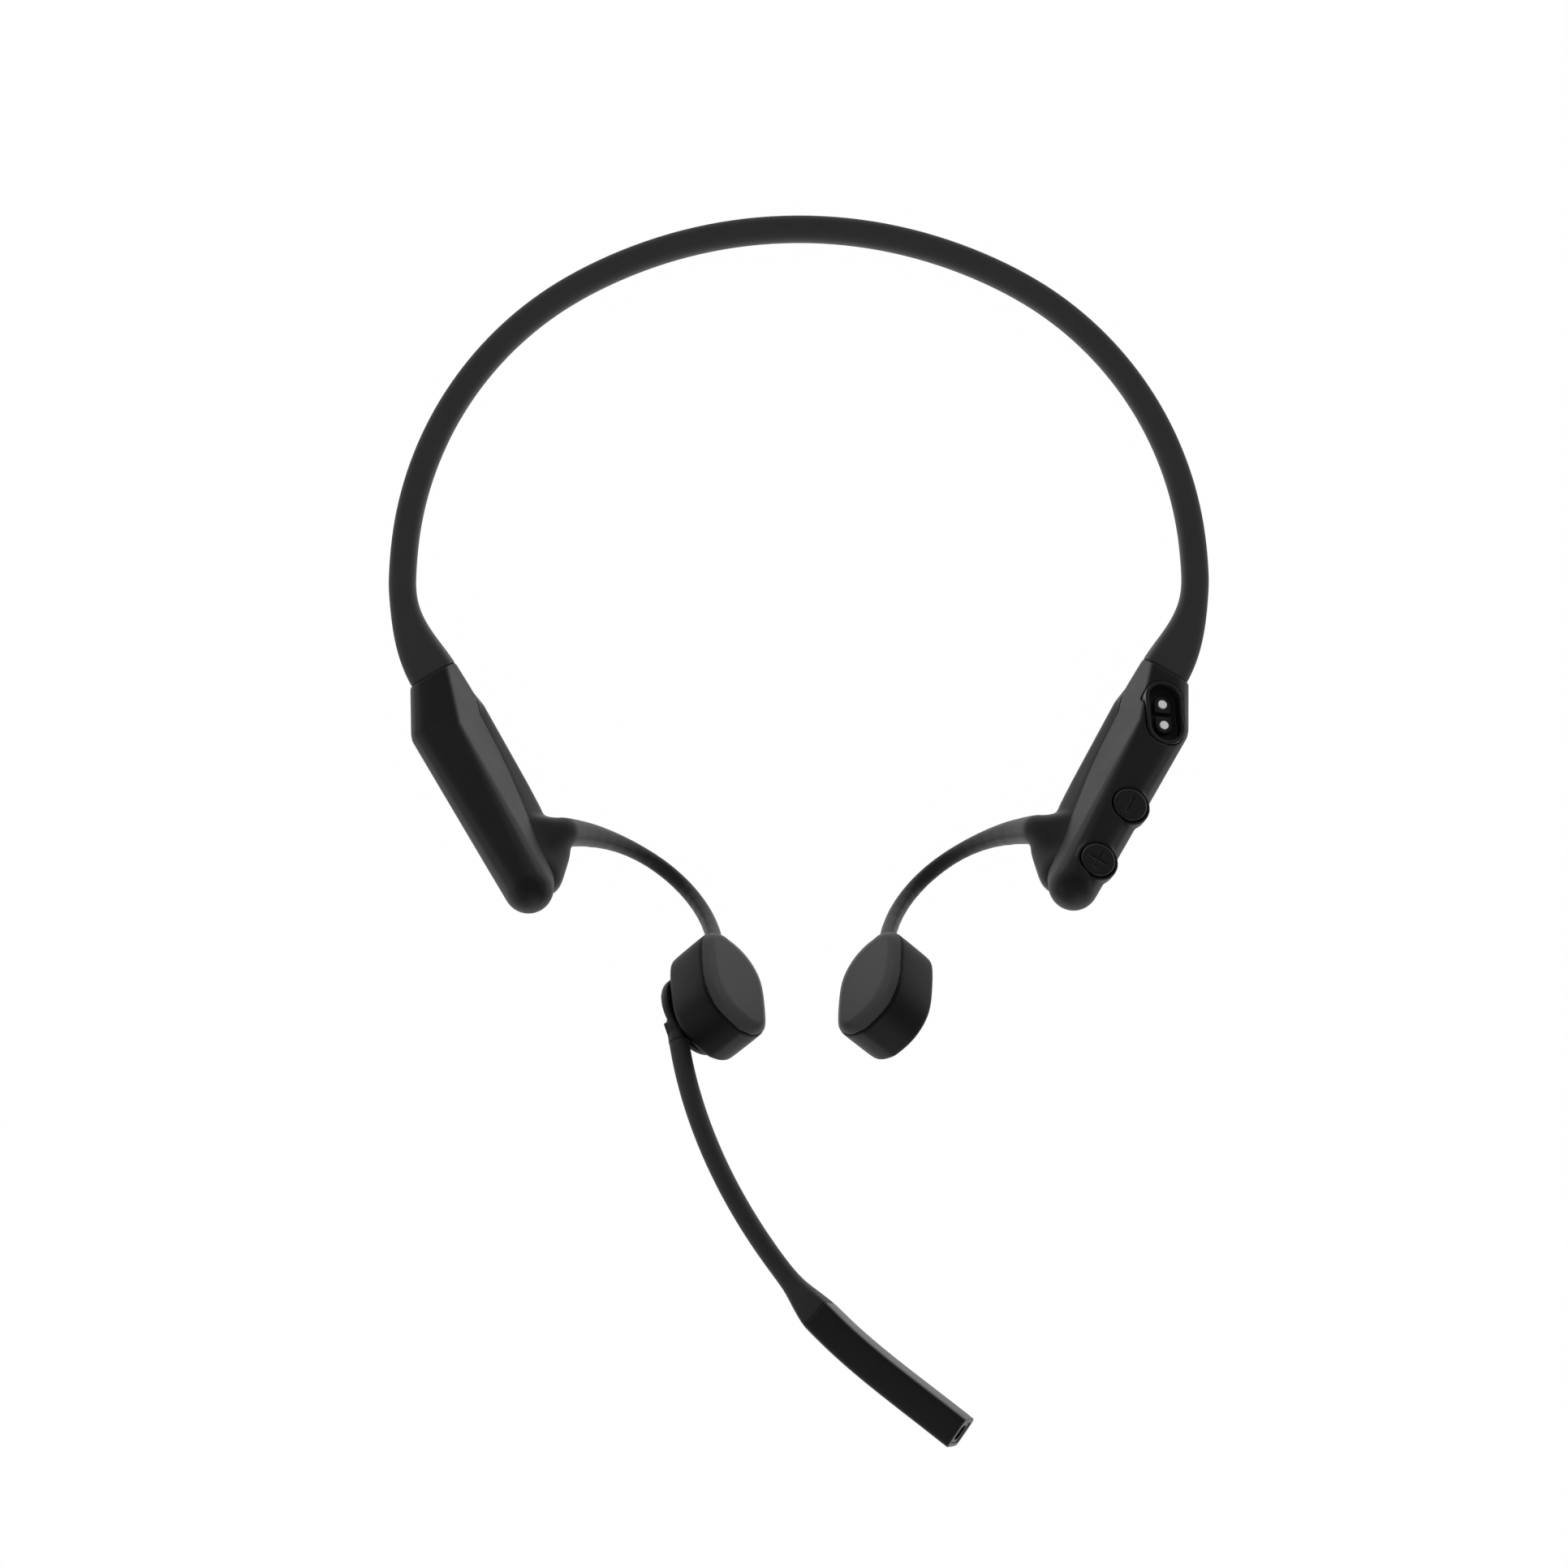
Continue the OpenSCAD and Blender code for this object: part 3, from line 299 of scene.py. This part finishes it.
def set_piece(shape, name, body, material, node, crisp=40):
    """Makes the shape a piece that stands for a node and moves with its body."""
    mesh = bpy.data.meshes.new(name)
    shape.to_mesh(mesh)
    shape.free()
    mesh.shade_smooth()
    mesh.set_sharp_from_angle(angle=math.radians(crisp))
    mesh.materials.append(material)
    piece = bpy.data.objects.new(name, mesh)
    bpy.context.scene.collection.objects.link(piece)
    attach(piece, body)
    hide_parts(node)
    return piece


rim_crease = 0.9
level_limit = 0.25


def swept_copy(node, crease_angle=55, axis=None):
    """A swept solid as four-sided faces, with its rims kept sharp under subdivision."""
    shape = joined_copy(node, flat=False)
    bmesh.ops.join_triangles(
        shape, faces=shape.faces, cmp_seam=False, cmp_sharp=False, cmp_uvs=False,
        cmp_vcols=False, cmp_materials=False, angle_face_threshold=math.radians(40),
        angle_shape_threshold=math.radians(180))
    crease = shape.edges.layers.float.new("crease_edge")
    for edge in shape.edges:
        if len(edge.link_faces) == 2:
            along = (edge.verts[0].co - edge.verts[1].co).normalized()
            level = axis is None or abs(along.dot(axis)) < level_limit
            if level and edge.calc_face_angle() > math.radians(crease_angle):
                edge[crease] = rim_crease
    return shape


def refine(piece, levels=2):
    smoother = piece.modifiers.new("refine", "SUBSURF")
    smoother.levels = levels
    smoother.render_levels = levels


band_silicone = moulded_material(
    "band_silicone", colour=(0.022, 0.022, 0.0225), edge_wear_and_sheen=(0.032, 0.032, 0.033),
    roughness=0.62, grain=5200, depth=0.3, marks=0.16, edge=0.0002, edge_wear_and_sheen_amount=0.2)
sleeve = set_piece(swept_copy("neckband_sleeve"), "band_sleeve", "headset",
                   band_silicone, "neckband_sleeve")
refine(sleeve)


# ---- Spring wires and cable --------------------------------------------------------------
# Nickel-titanium wires carry the shape of the band, the hooks and the boom; the cable beside
# the band's wire joins the battery to the main board. All of them lie inside silicone.
def drawn_surface():
    """Fine lengthways or random scratches of drawn, stamped or plated metal."""
    group, given, result = new_group("drawn_surface", (
        ("Roughness", "NodeSocketFloat", 0.3),
        ("Scratches", "NodeSocketFloat", 2500.0),
        ("Depth", "NodeSocketFloat", 0.2),
        ("Stretch", "NodeSocketVector", (1, 1, 8)),
    ), (
        ("Roughness", "NodeSocketFloat"),
        ("Normal", "NodeSocketVector"),
    ))
    link = group.links.new
    place = add_node(group, "ShaderNodeTexCoord")
    stretched = add_node(group, "ShaderNodeVectorMath", operation="MULTIPLY")
    lines = add_node(group, "ShaderNodeTexNoise", {"Detail": 3})
    spread = add_node(group, "ShaderNodeMath", {1: 0.2}, "MULTIPLY_ADD")
    spread.use_clamp = True
    raised = add_node(group, "ShaderNodeBump", {"Distance": 0.00001})
    link(place.outputs["Object"], stretched.inputs[0])
    link(given.outputs["Stretch"], stretched.inputs[1])
    link(stretched.outputs[0], lines.inputs["Vector"])
    link(given.outputs["Scratches"], lines.inputs["Scale"])
    link(lines.outputs["Fac"], spread.inputs[0])
    link(given.outputs["Roughness"], spread.inputs[2])
    link(given.outputs["Depth"], raised.inputs["Strength"])
    link(lines.outputs["Fac"], raised.inputs["Height"])
    link(spread.outputs[0], result.inputs["Roughness"])
    link(raised.outputs["Normal"], result.inputs["Normal"])
    return group


drawn = drawn_surface()


def metal_material(name, colour, roughness, scratches, depth, stretch=(1, 1, 1), metallic=1):
    material, tree, shader = plain_material(name)
    shader.inputs["Base Color"].default_value = (*colour, 1)
    shader.inputs["Metallic"].default_value = metallic
    surface = tree.nodes.new("ShaderNodeGroup")
    surface.node_tree = drawn
    surface.inputs["Roughness"].default_value = roughness
    surface.inputs["Scratches"].default_value = scratches
    surface.inputs["Depth"].default_value = depth
    surface.inputs["Stretch"].default_value = stretch
    tree.links.new(surface.outputs["Roughness"], shader.inputs["Roughness"])
    tree.links.new(surface.outputs["Normal"], shader.inputs["Normal"])
    return material


def dress(material, *nodes):
    """Gives carried-over nodes their finish."""
    for node in nodes:
        mesh = frame["nodes"][node].data
        mesh.materials.clear()
        mesh.materials.append(material)


spring_wire = metal_material("spring_wire", (0.55, 0.56, 0.58), roughness=0.22,
                             scratches=1800, depth=0.3, stretch=(1, 1, 0.1))
dress(spring_wire, "neckband_wire", "ear_hook_wire_left", "ear_hook_wire_right", "boom_wire")
cable_jacket = moulded_material(
    "cable_jacket", colour=(0.02, 0.02, 0.02), edge_wear_and_sheen=(0.04, 0.04, 0.04),
    roughness=0.5, grain=4000, depth=0.2, marks=0.1, edge=0.0001, edge_wear_and_sheen_amount=0.1)
dress(cable_jacket, "neckband_cable")


# ---- Housing shells ----------------------------------------------------------------------
# Satin black polycarbonate shells with a broad flat face that climbs to a round nose. The outer
# long edge is full and the inner one crisp, and a slanted plane parts them from the soft cover.
shell_plastic = moulded_material(
    "shell_plastic", colour=(0.006, 0.006, 0.0063), edge_wear_and_sheen=(0.012, 0.012, 0.0125),
    roughness=0.52, grain=7000, depth=0.22, marks=0.12, edge=0.0003, edge_wear_and_sheen_amount=0.5)

# The right housing's middle at its seam with the band, how far it turns in from there, and the
# height and climb of its underside; the left one is its mirror image
seam_place = Vector((0.05847, 0.01853, 0.01405))
seam_turn = math.radians(-121)
underside = -0.01151
underside_climb = 0.5658


def in_housing(along, across, up, mirror):
    """A place given along a housing from its seam, out across it and up from its underside."""
    place = Vector((along, across, underside + underside_climb * along + up))
    place.rotate(Matrix.Rotation(seam_turn, 3, "Z"))
    place += seam_place
    return Vector((mirror * place.x, place.y, place.z))


def cast(piece, fineness, passes):
    """Turns a faceted solid into one fine skin and softens its edges, as a casting's are."""
    skin = piece.modifiers.new("one skin", "REMESH")
    skin.mode = "VOXEL"
    skin.voxel_size = fineness
    skin.use_smooth_shade = True
    soften = piece.modifiers.new("soft edges", "SMOOTH")
    soften.factor = 0.5
    soften.iterations = passes


def settle(piece, place, widest, narrowest, passes, spared=Vector(), spared_reach=0):
    """Makes the piece's skin final and lets it sag into a fillet round a place."""
    solved = piece.evaluated_get(bpy.context.evaluated_depsgraph_get())
    skin = bpy.data.meshes.new_from_object(solved)
    piece.modifiers.clear()
    shape = bmesh.new()
    shape.from_mesh(skin)
    near = [vert for vert in shape.verts if (vert.co - place).length < widest
            and (vert.co - spared).length > spared_reach]
    near.sort(key=lambda vert: (vert.co - place).length)
    reaches = [(vert.co - place).length for vert in near]
    for turn in range(passes):
        reach = widest + (narrowest - widest) * turn / passes
        bmesh.ops.smooth_vert(shape, verts=near[:bisect.bisect(reaches, reach)], factor=0.5,
                              use_axis_x=True, use_axis_y=True, use_axis_z=True)
    shape.to_mesh(skin)
    shape.free()
    piece.data = skin


def middle_of(node):
    low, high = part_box(node)
    return (Vector(low) + Vector(high)) / 2


# The nose sags into its round end, but the well of the plus key stays true
nose_top = (0.038, 0.0025, 0.009)
for side, mirror in (("left", -1), ("right", 1)):
    shell = set_piece(joined_copy(f"housing_shell_{side}"), f"shell_{side}", "headset",
                      shell_plastic, f"housing_shell_{side}", crisp=180)
    cast(shell, fineness=0.00021, passes=5)
    settle(shell, in_housing(*nose_top, mirror), widest=0.0075, narrowest=0.005, passes=18,
           spared=middle_of("volume_plus_button"), spared_reach=0.0037)


# ---- Soft covers with the ear hooks ------------------------------------------------------
# Grey soft-touch silicone moulded over the lower half of each housing. The same shot runs on
# over the hook's wire, so the hook grows out of the cover without a joint.
hook_silicone = moulded_material(
    "hook_silicone", colour=(0.0132, 0.0132, 0.0136), edge_wear_and_sheen=(0.022, 0.022, 0.0228),
    roughness=0.46, grain=6000, depth=0.2, marks=0.1, edge=0.0002, edge_wear_and_sheen_amount=0.2,
    sheen=0.08, gloss=0.26)

# Balls inside the cover's corners, as places in the housing and a radius for each group
cover_nose = (((0.0359, 0.0002, 0.0045),), 0.00362)
cover_slope = ((
    (0.0025, -0.0022, 0.0026), (0.027, -0.0031, 0.0024), (0.0025, -0.0004, 0.0052),
    (0.008, -0.0031, 0.0024), (0.027, 0, 0.0054)), 0.0018)
cover_web = ((
    (0.0345, -0.0039, 0.0025), (0.0315, -0.0044, 0.0026), (0.0265, 0, 0.0054),
    (0.0335, 0, 0.0058)), 0.0019)
cover_shoulder = ((
    (0.0275, -0.0009, 0.0054), (0.034, -0.0009, 0.0058), (0.0335, -0.0036, 0.0024),
    (0.0295, -0.0036, 0.0024)), 0.0017)
neck_radius = 0.0022
neck_start = 0.0025
neck_end = 0.005


def housing_balls(group, mirror):
    places, radius = group
    return [(in_housing(*place, mirror), radius) for place in places]


def add_hull(shape, balls):
    """Adds the hull of some balls, which the remesh then joins to the rest."""
    lump = bmesh.new()
    for place, radius in balls:
        bmesh.ops.create_icosphere(lump, subdivisions=3, radius=radius,
                                   matrix=Matrix.Translation(place))
    bmesh.ops.delete(lump, geom=lump.edges[:] + lump.faces[:], context="EDGES_FACES")
    made = bmesh.ops.convex_hull(lump, input=lump.verts)
    inner = [item for item in made["geom_interior"] if isinstance(item, bmesh.types.BMVert)]
    bmesh.ops.delete(lump, geom=inner, context="VERTS")
    lump_mesh = bpy.data.meshes.new("lump")
    lump.to_mesh(lump_mesh)
    lump.free()
    shape.from_mesh(lump_mesh)
    bpy.data.meshes.remove(lump_mesh)


def middle_between(places, end, nearest, farthest):
    """The middle of the places that lie within two distances of an end."""
    beyond = [place for place in places if nearest < (place - end).length < farthest]
    return sum(beyond, Vector()) / len(beyond)


for side, mirror in (("left", -1), ("right", 1)):
    wire = [vert.co for vert in frame["nodes"][f"ear_hook_wire_{side}"].data.vertices]
    hook_root = max(wire, key=lambda place: abs(place.x))
    hook_neck = middle_between(wire, hook_root, neck_start, neck_end)
    nose = housing_balls(cover_nose, mirror)
    skin = joined_copy(f"ear_hook_{side}")
    # The long side slopes out from the parting line
    add_hull(skin, nose + housing_balls(cover_slope, mirror))
    # The web under the nose
    add_hull(skin, nose + housing_balls(cover_web, mirror))
    # The shoulder from the parting line on to the hook
    add_hull(skin, [(hook_neck, neck_radius)] + housing_balls(cover_shoulder, mirror))
    hook = set_piece(skin, f"soft_hook_{side}", "headset", hook_silicone,
                     f"ear_hook_{side}", crisp=180)
    cast(hook, fineness=0.0002, passes=16)
    settle(hook, (hook_root + hook_neck) / 2, widest=0.0115, narrowest=0.003, passes=85)


# ---- Volume buttons ----------------------------------------------------------------------
# Two round keys in raised collars on the right housing. Their marks are sunk in the caps, and
# a snap under each stem holds it in its well.
button_plastic = moulded_material(
    "button_plastic", colour=(0.008, 0.008, 0.0083), edge_wear_and_sheen=(0.016, 0.016, 0.0165),
    roughness=0.38, grain=8000, depth=0.2, marks=0.1, edge=0.00025, edge_wear_and_sheen_amount=0.6)
for way in ("minus", "plus"):
    key = set_piece(joined_copy(f"volume_{way}_button"), f"key_{way}", f"volume_{way}",
                    button_plastic, f"volume_{way}_button", crisp=180)
    cast(key, fineness=0.00007, passes=4)


# ---- Charging port -----------------------------------------------------------------------
# Black insert with a raised rim and an island that carries two plated contacts. The magnets that
# pull the plug in are pressed into its back.
def flatten_shading(piece):
    """Keeps broad faces flat in the light, as a steel mould makes them."""
    even = piece.modifiers.new("flat faces", "WEIGHTED_NORMAL")
    even.keep_sharp = True


bezel = set_piece(joined_copy("charge_port_bezel"), "port_rim", "headset",
                  button_plastic, "charge_port_bezel", crisp=180)
cast(bezel, fineness=0.00009, passes=4)
# A thin plating, scuffed by use, shines less than bare metal
contact_metal = metal_material("contact_metal", (0.88, 0.88, 0.87), roughness=0.3,
                               scratches=6000, depth=0.1, metallic=0.4)
pins = set_piece(joined_copy("charge_contacts"), "contact_pins", "headset",
                 contact_metal, "charge_contacts", crisp=32)
flatten_shading(pins)
magnet_nickel = metal_material("magnet_nickel", (0.66, 0.64, 0.6), roughness=0.12,
                               scratches=3000, depth=0.1)
dress(magnet_nickel, "charge_magnets")


# ---- Battery, boards and switches --------------------------------------------------------
# A foil cell with its protection board lies in the left housing; the main board with its two
# screening cans and the volume switches lies in the right one.
def board_material():
    """Green solder mask over tracks, with the copper's relief showing through."""
    material, tree, shader = plain_material("circuit_board")
    link = tree.links.new
    shader.inputs["Coat Weight"].default_value = 0.4
    shader.inputs["Roughness"].default_value = 0.35
    place = add_node(tree, "ShaderNodeTexCoord")
    tracks = add_node(tree, "ShaderNodeTexVoronoi")
    tracks.distance = "MANHATTAN"
    tracks.feature = "DISTANCE_TO_EDGE"
    tracks.inputs["Scale"].default_value = 900
    step = add_node(tree, "ShaderNodeValToRGB")
    track, gap = step.color_ramp.elements
    track.position = 0.08
    track.color = (0.035, 0.16, 0.08, 1)
    gap.position = 0.12
    gap.color = (0.012, 0.07, 0.035, 1)
    relief = add_node(tree, "ShaderNodeBump", {"Strength": 0.4, "Distance": 0.00003})
    link(place.outputs["Object"], tracks.inputs["Vector"])
    link(tracks.outputs["Distance"], step.inputs["Fac"])
    link(tracks.outputs["Distance"], relief.inputs["Height"])
    link(step.outputs["Color"], shader.inputs["Base Color"])
    link(relief.outputs["Normal"], shader.inputs["Normal"])
    return material


dress(board_material(), "battery_board", "main_board")
battery_foil = metal_material("battery_foil", (0.72, 0.73, 0.74), roughness=0.32,
                              scratches=900, depth=0.8)
dress(battery_foil, "battery_cell")
stamped_steel = metal_material("stamped_steel", (0.5, 0.5, 0.52), roughness=0.34,
                               scratches=2600, depth=0.3)
dress(stamped_steel, "volume_switches")


# ---- Pods --------------------------------------------------------------------------------
# Black cups that carry the transducers on the hooks' far ends. Their outer edge is rounded, and
# two of their corners are fuller than the others.
cup_plastic = moulded_material(
    "cup_plastic", colour=(0.0035, 0.0035, 0.0037), edge_wear_and_sheen=(0.009, 0.009, 0.0095),
    roughness=0.5, grain=7000, depth=0.22, marks=0.12, edge=0.0003, edge_wear_and_sheen_amount=0.4, gloss=0.28)
pad_axes = {mount["name"]: Vector(mount["axis"]) for mount in frame["record"]["mounts"]}
for side in ("left", "right"):
    cup_shape = swept_copy(f"pod_shell_{side}", 20, pad_axes[f"pad_face_{side}"])
    cup = set_piece(cup_shape, f"pod_cup_{side}", "headset",
                    cup_plastic, f"pod_shell_{side}", crisp=180)
    refine(cup)
    cast(cup, fineness=0.000135, passes=10)


# ---- Ear pads ----------------------------------------------------------------------------
# Soft silicone lids that seal the pods and press on the cheekbones. Each has a flat oblong face
# with a sloping border.
pad_silicone = moulded_material(
    "pad_silicone", colour=(0.03, 0.03, 0.031), edge_wear_and_sheen=(0.04, 0.04, 0.041),
    roughness=0.5, grain=6500, depth=0.25, marks=0.1, edge=0.0004, edge_wear_and_sheen_amount=0.2)
for side in ("left", "right"):
    pad_shape = swept_copy(f"ear_pad_{side}", 12, pad_axes[f"pad_face_{side}"])
    pad = set_piece(pad_shape, f"soft_pad_{side}", "headset",
                    pad_silicone, f"ear_pad_{side}", crisp=180)
    refine(pad)
    cast(pad, fineness=0.0001, passes=15)


# ---- Transducers -------------------------------------------------------------------------
# Behind each pad a drive plate carries the voice coil, which dips into the gap between the pole
# plate on its magnet and the steel cup round them.
def winding_material():
    """Enamelled copper wound in even turns along the coil's axis."""
    material, tree, shader = plain_material("coil_copper")
    link = tree.links.new
    shader.inputs["Base Color"].default_value = (0.62, 0.24, 0.09, 1)
    shader.inputs["Metallic"].default_value = 1
    shader.inputs["Roughness"].default_value = 0.28
    shader.inputs["Coat Weight"].default_value = 0.6
    place = add_node(tree, "ShaderNodeTexCoord")
    turns = add_node(tree, "ShaderNodeTexWave", {"Scale": 1500})
    turns.wave_profile = "SIN"
    turns.bands_direction = "Z"
    relief = add_node(tree, "ShaderNodeBump", {"Strength": 0.6, "Distance": 0.00004})
    link(place.outputs["Object"], turns.inputs["Vector"])
    link(turns.outputs["Fac"], relief.inputs["Height"])
    link(relief.outputs["Normal"], shader.inputs["Normal"])
    return material


drive_steel = metal_material("drive_steel", (0.46, 0.46, 0.48), roughness=0.4,
                             scratches=2200, depth=0.3)
coil_copper = winding_material()
for side in ("left", "right"):
    dress(drive_steel, f"drive_plate_{side}", f"pole_plate_{side}", f"yoke_{side}")
    dress(magnet_nickel, f"magnet_{side}")
    dress(coil_copper, f"voice_coil_{side}")


# ---- Boom pivot --------------------------------------------------------------------------
# The hub turns on a hollow boss of the left pod, against a spring washer, under a snapped-on
# ring. The multifunction key and its switch sit inside the boss.
dress(stamped_steel, "friction_washer", "multifunction_switch")
ring = set_piece(joined_copy("pivot_retainer"), "pivot_ring", "headset",
                 shell_plastic, "pivot_retainer", crisp=32)
flatten_shading(ring)
call_key = set_piece(joined_copy("multifunction_button"), "key_call", "multifunction",
                     button_plastic, "multifunction_button", crisp=32)
flatten_shading(call_key)

# Where the arm's wire starts at the hub, and which way it leaves
hub_shape = joined_copy("boom_hub")
hub_centre = middle_of("pivot_retainer")
core = [vert.co for vert in frame["nodes"]["boom_wire"].data.vertices]
core_end = min(core, key=lambda place: (place - hub_centre).length)
outward = (middle_between(core, core_end, 0.003, 0.006) - core_end).normalized()

# The first ring of the arm's skin
ring_depth = 0.0004
arm_root = 0.006
arm_skin = [vert.co for vert in frame["nodes"]["boom_arm"].data.vertices]
arm_skin = [place for place in arm_skin if (place - core_end).length < arm_root]
arm_front = min(place.dot(outward) for place in arm_skin)
arm_end = [place for place in arm_skin if place.dot(outward) < arm_front + ring_depth]
arm_middle = sum(arm_end, Vector()) / len(arm_end)

# The stem carries on the arm's own section, up to the hub's ring
stem_draw = 0.72
stem_length = 0.0045
stem_round = 0.00003
for vert in hub_shape.verts:
    if vert.co.dot(outward) > arm_front - ring_depth:
        vert.co = arm_middle + (vert.co - arm_middle) * stem_draw
add_hull(hub_shape, [(place - outward * back, stem_round) for place in arm_end
                     for back in (0, stem_length)])
hub = set_piece(hub_shape, "boom_hub_ring", "boom", shell_plastic,
                "boom_hub", crisp=180)
cast(hub, fineness=0.0001, passes=12)


# ---- Boom arm ----------------------------------------------------------------------------
# Matt rubber moulded over a bendable wire. It is round-cornered at the hub and widens into the
# section of the microphone housing.
arm_rubber = moulded_material(
    "arm_rubber", colour=(0.013, 0.013, 0.0135), edge_wear_and_sheen=(0.022, 0.022, 0.023),
    roughness=0.6, grain=5200, depth=0.35, marks=0.14, edge=0.0002, edge_wear_and_sheen_amount=0.2)
arm = set_piece(swept_copy("boom_arm"), "boom_stalk", "boom", arm_rubber,
                "boom_arm")
refine(arm)


# ---- Microphone --------------------------------------------------------------------------
# Satin housing glued to the end of the arm, with the capsule behind the port at its tip. A
# slotted cap pressed into the tip holds a fine mesh in front of the capsule.
microphone_plastic = moulded_material(
    "microphone_plastic", colour=(0.0065, 0.0065, 0.0068), edge_wear_and_sheen=(0.014, 0.014, 0.0145),
    roughness=0.36, grain=7000, depth=0.2, marks=0.1, edge=0.00025, edge_wear_and_sheen_amount=0.5)
barrel = set_piece(swept_copy("microphone_housing"), "microphone_barrel", "boom",
                   microphone_plastic, "microphone_housing")
refine(barrel)
cap = set_piece(joined_copy("microphone_end_cap"), "microphone_cap", "boom",
                microphone_plastic, "microphone_end_cap", crisp=32)
flatten_shading(cap)
dress(stamped_steel, "microphone_capsule")


def mesh_material():
    """Woven wire: two families of bars, with painted shade standing in for the open gaps between
    them.
    """
    material, tree, shader = plain_material("microphone_mesh")
    link = tree.links.new
    shader.inputs["Metallic"].default_value = 1
    shader.inputs["Roughness"].default_value = 0.5
    place = add_node(tree, "ShaderNodeTexCoord")
    weave = add_node(tree, "ShaderNodeTexVoronoi", {"Scale": 5000, "Randomness": 0})
    weave.distance = "CHEBYCHEV"
    bars_and_hole_shade = add_node(tree, "ShaderNodeValToRGB")
    # The gaps between the bars are painted near-black: painted shade, not open gaps
    painted_hole_shade, bar = bars_and_hole_shade.color_ramp.elements
    painted_hole_shade.position = 0.25
    painted_hole_shade.color = (0.003, 0.003, 0.003, 1)
    bar.position = 0.4
    bar.color = (0.06, 0.06, 0.06, 1)
    link(place.outputs["Object"], weave.inputs["Vector"])
    link(weave.outputs["Distance"], bars_and_hole_shade.inputs["Fac"])
    link(bars_and_hole_shade.outputs["Color"], shader.inputs["Base Color"])
    return material


dress(mesh_material(), "microphone_mesh")
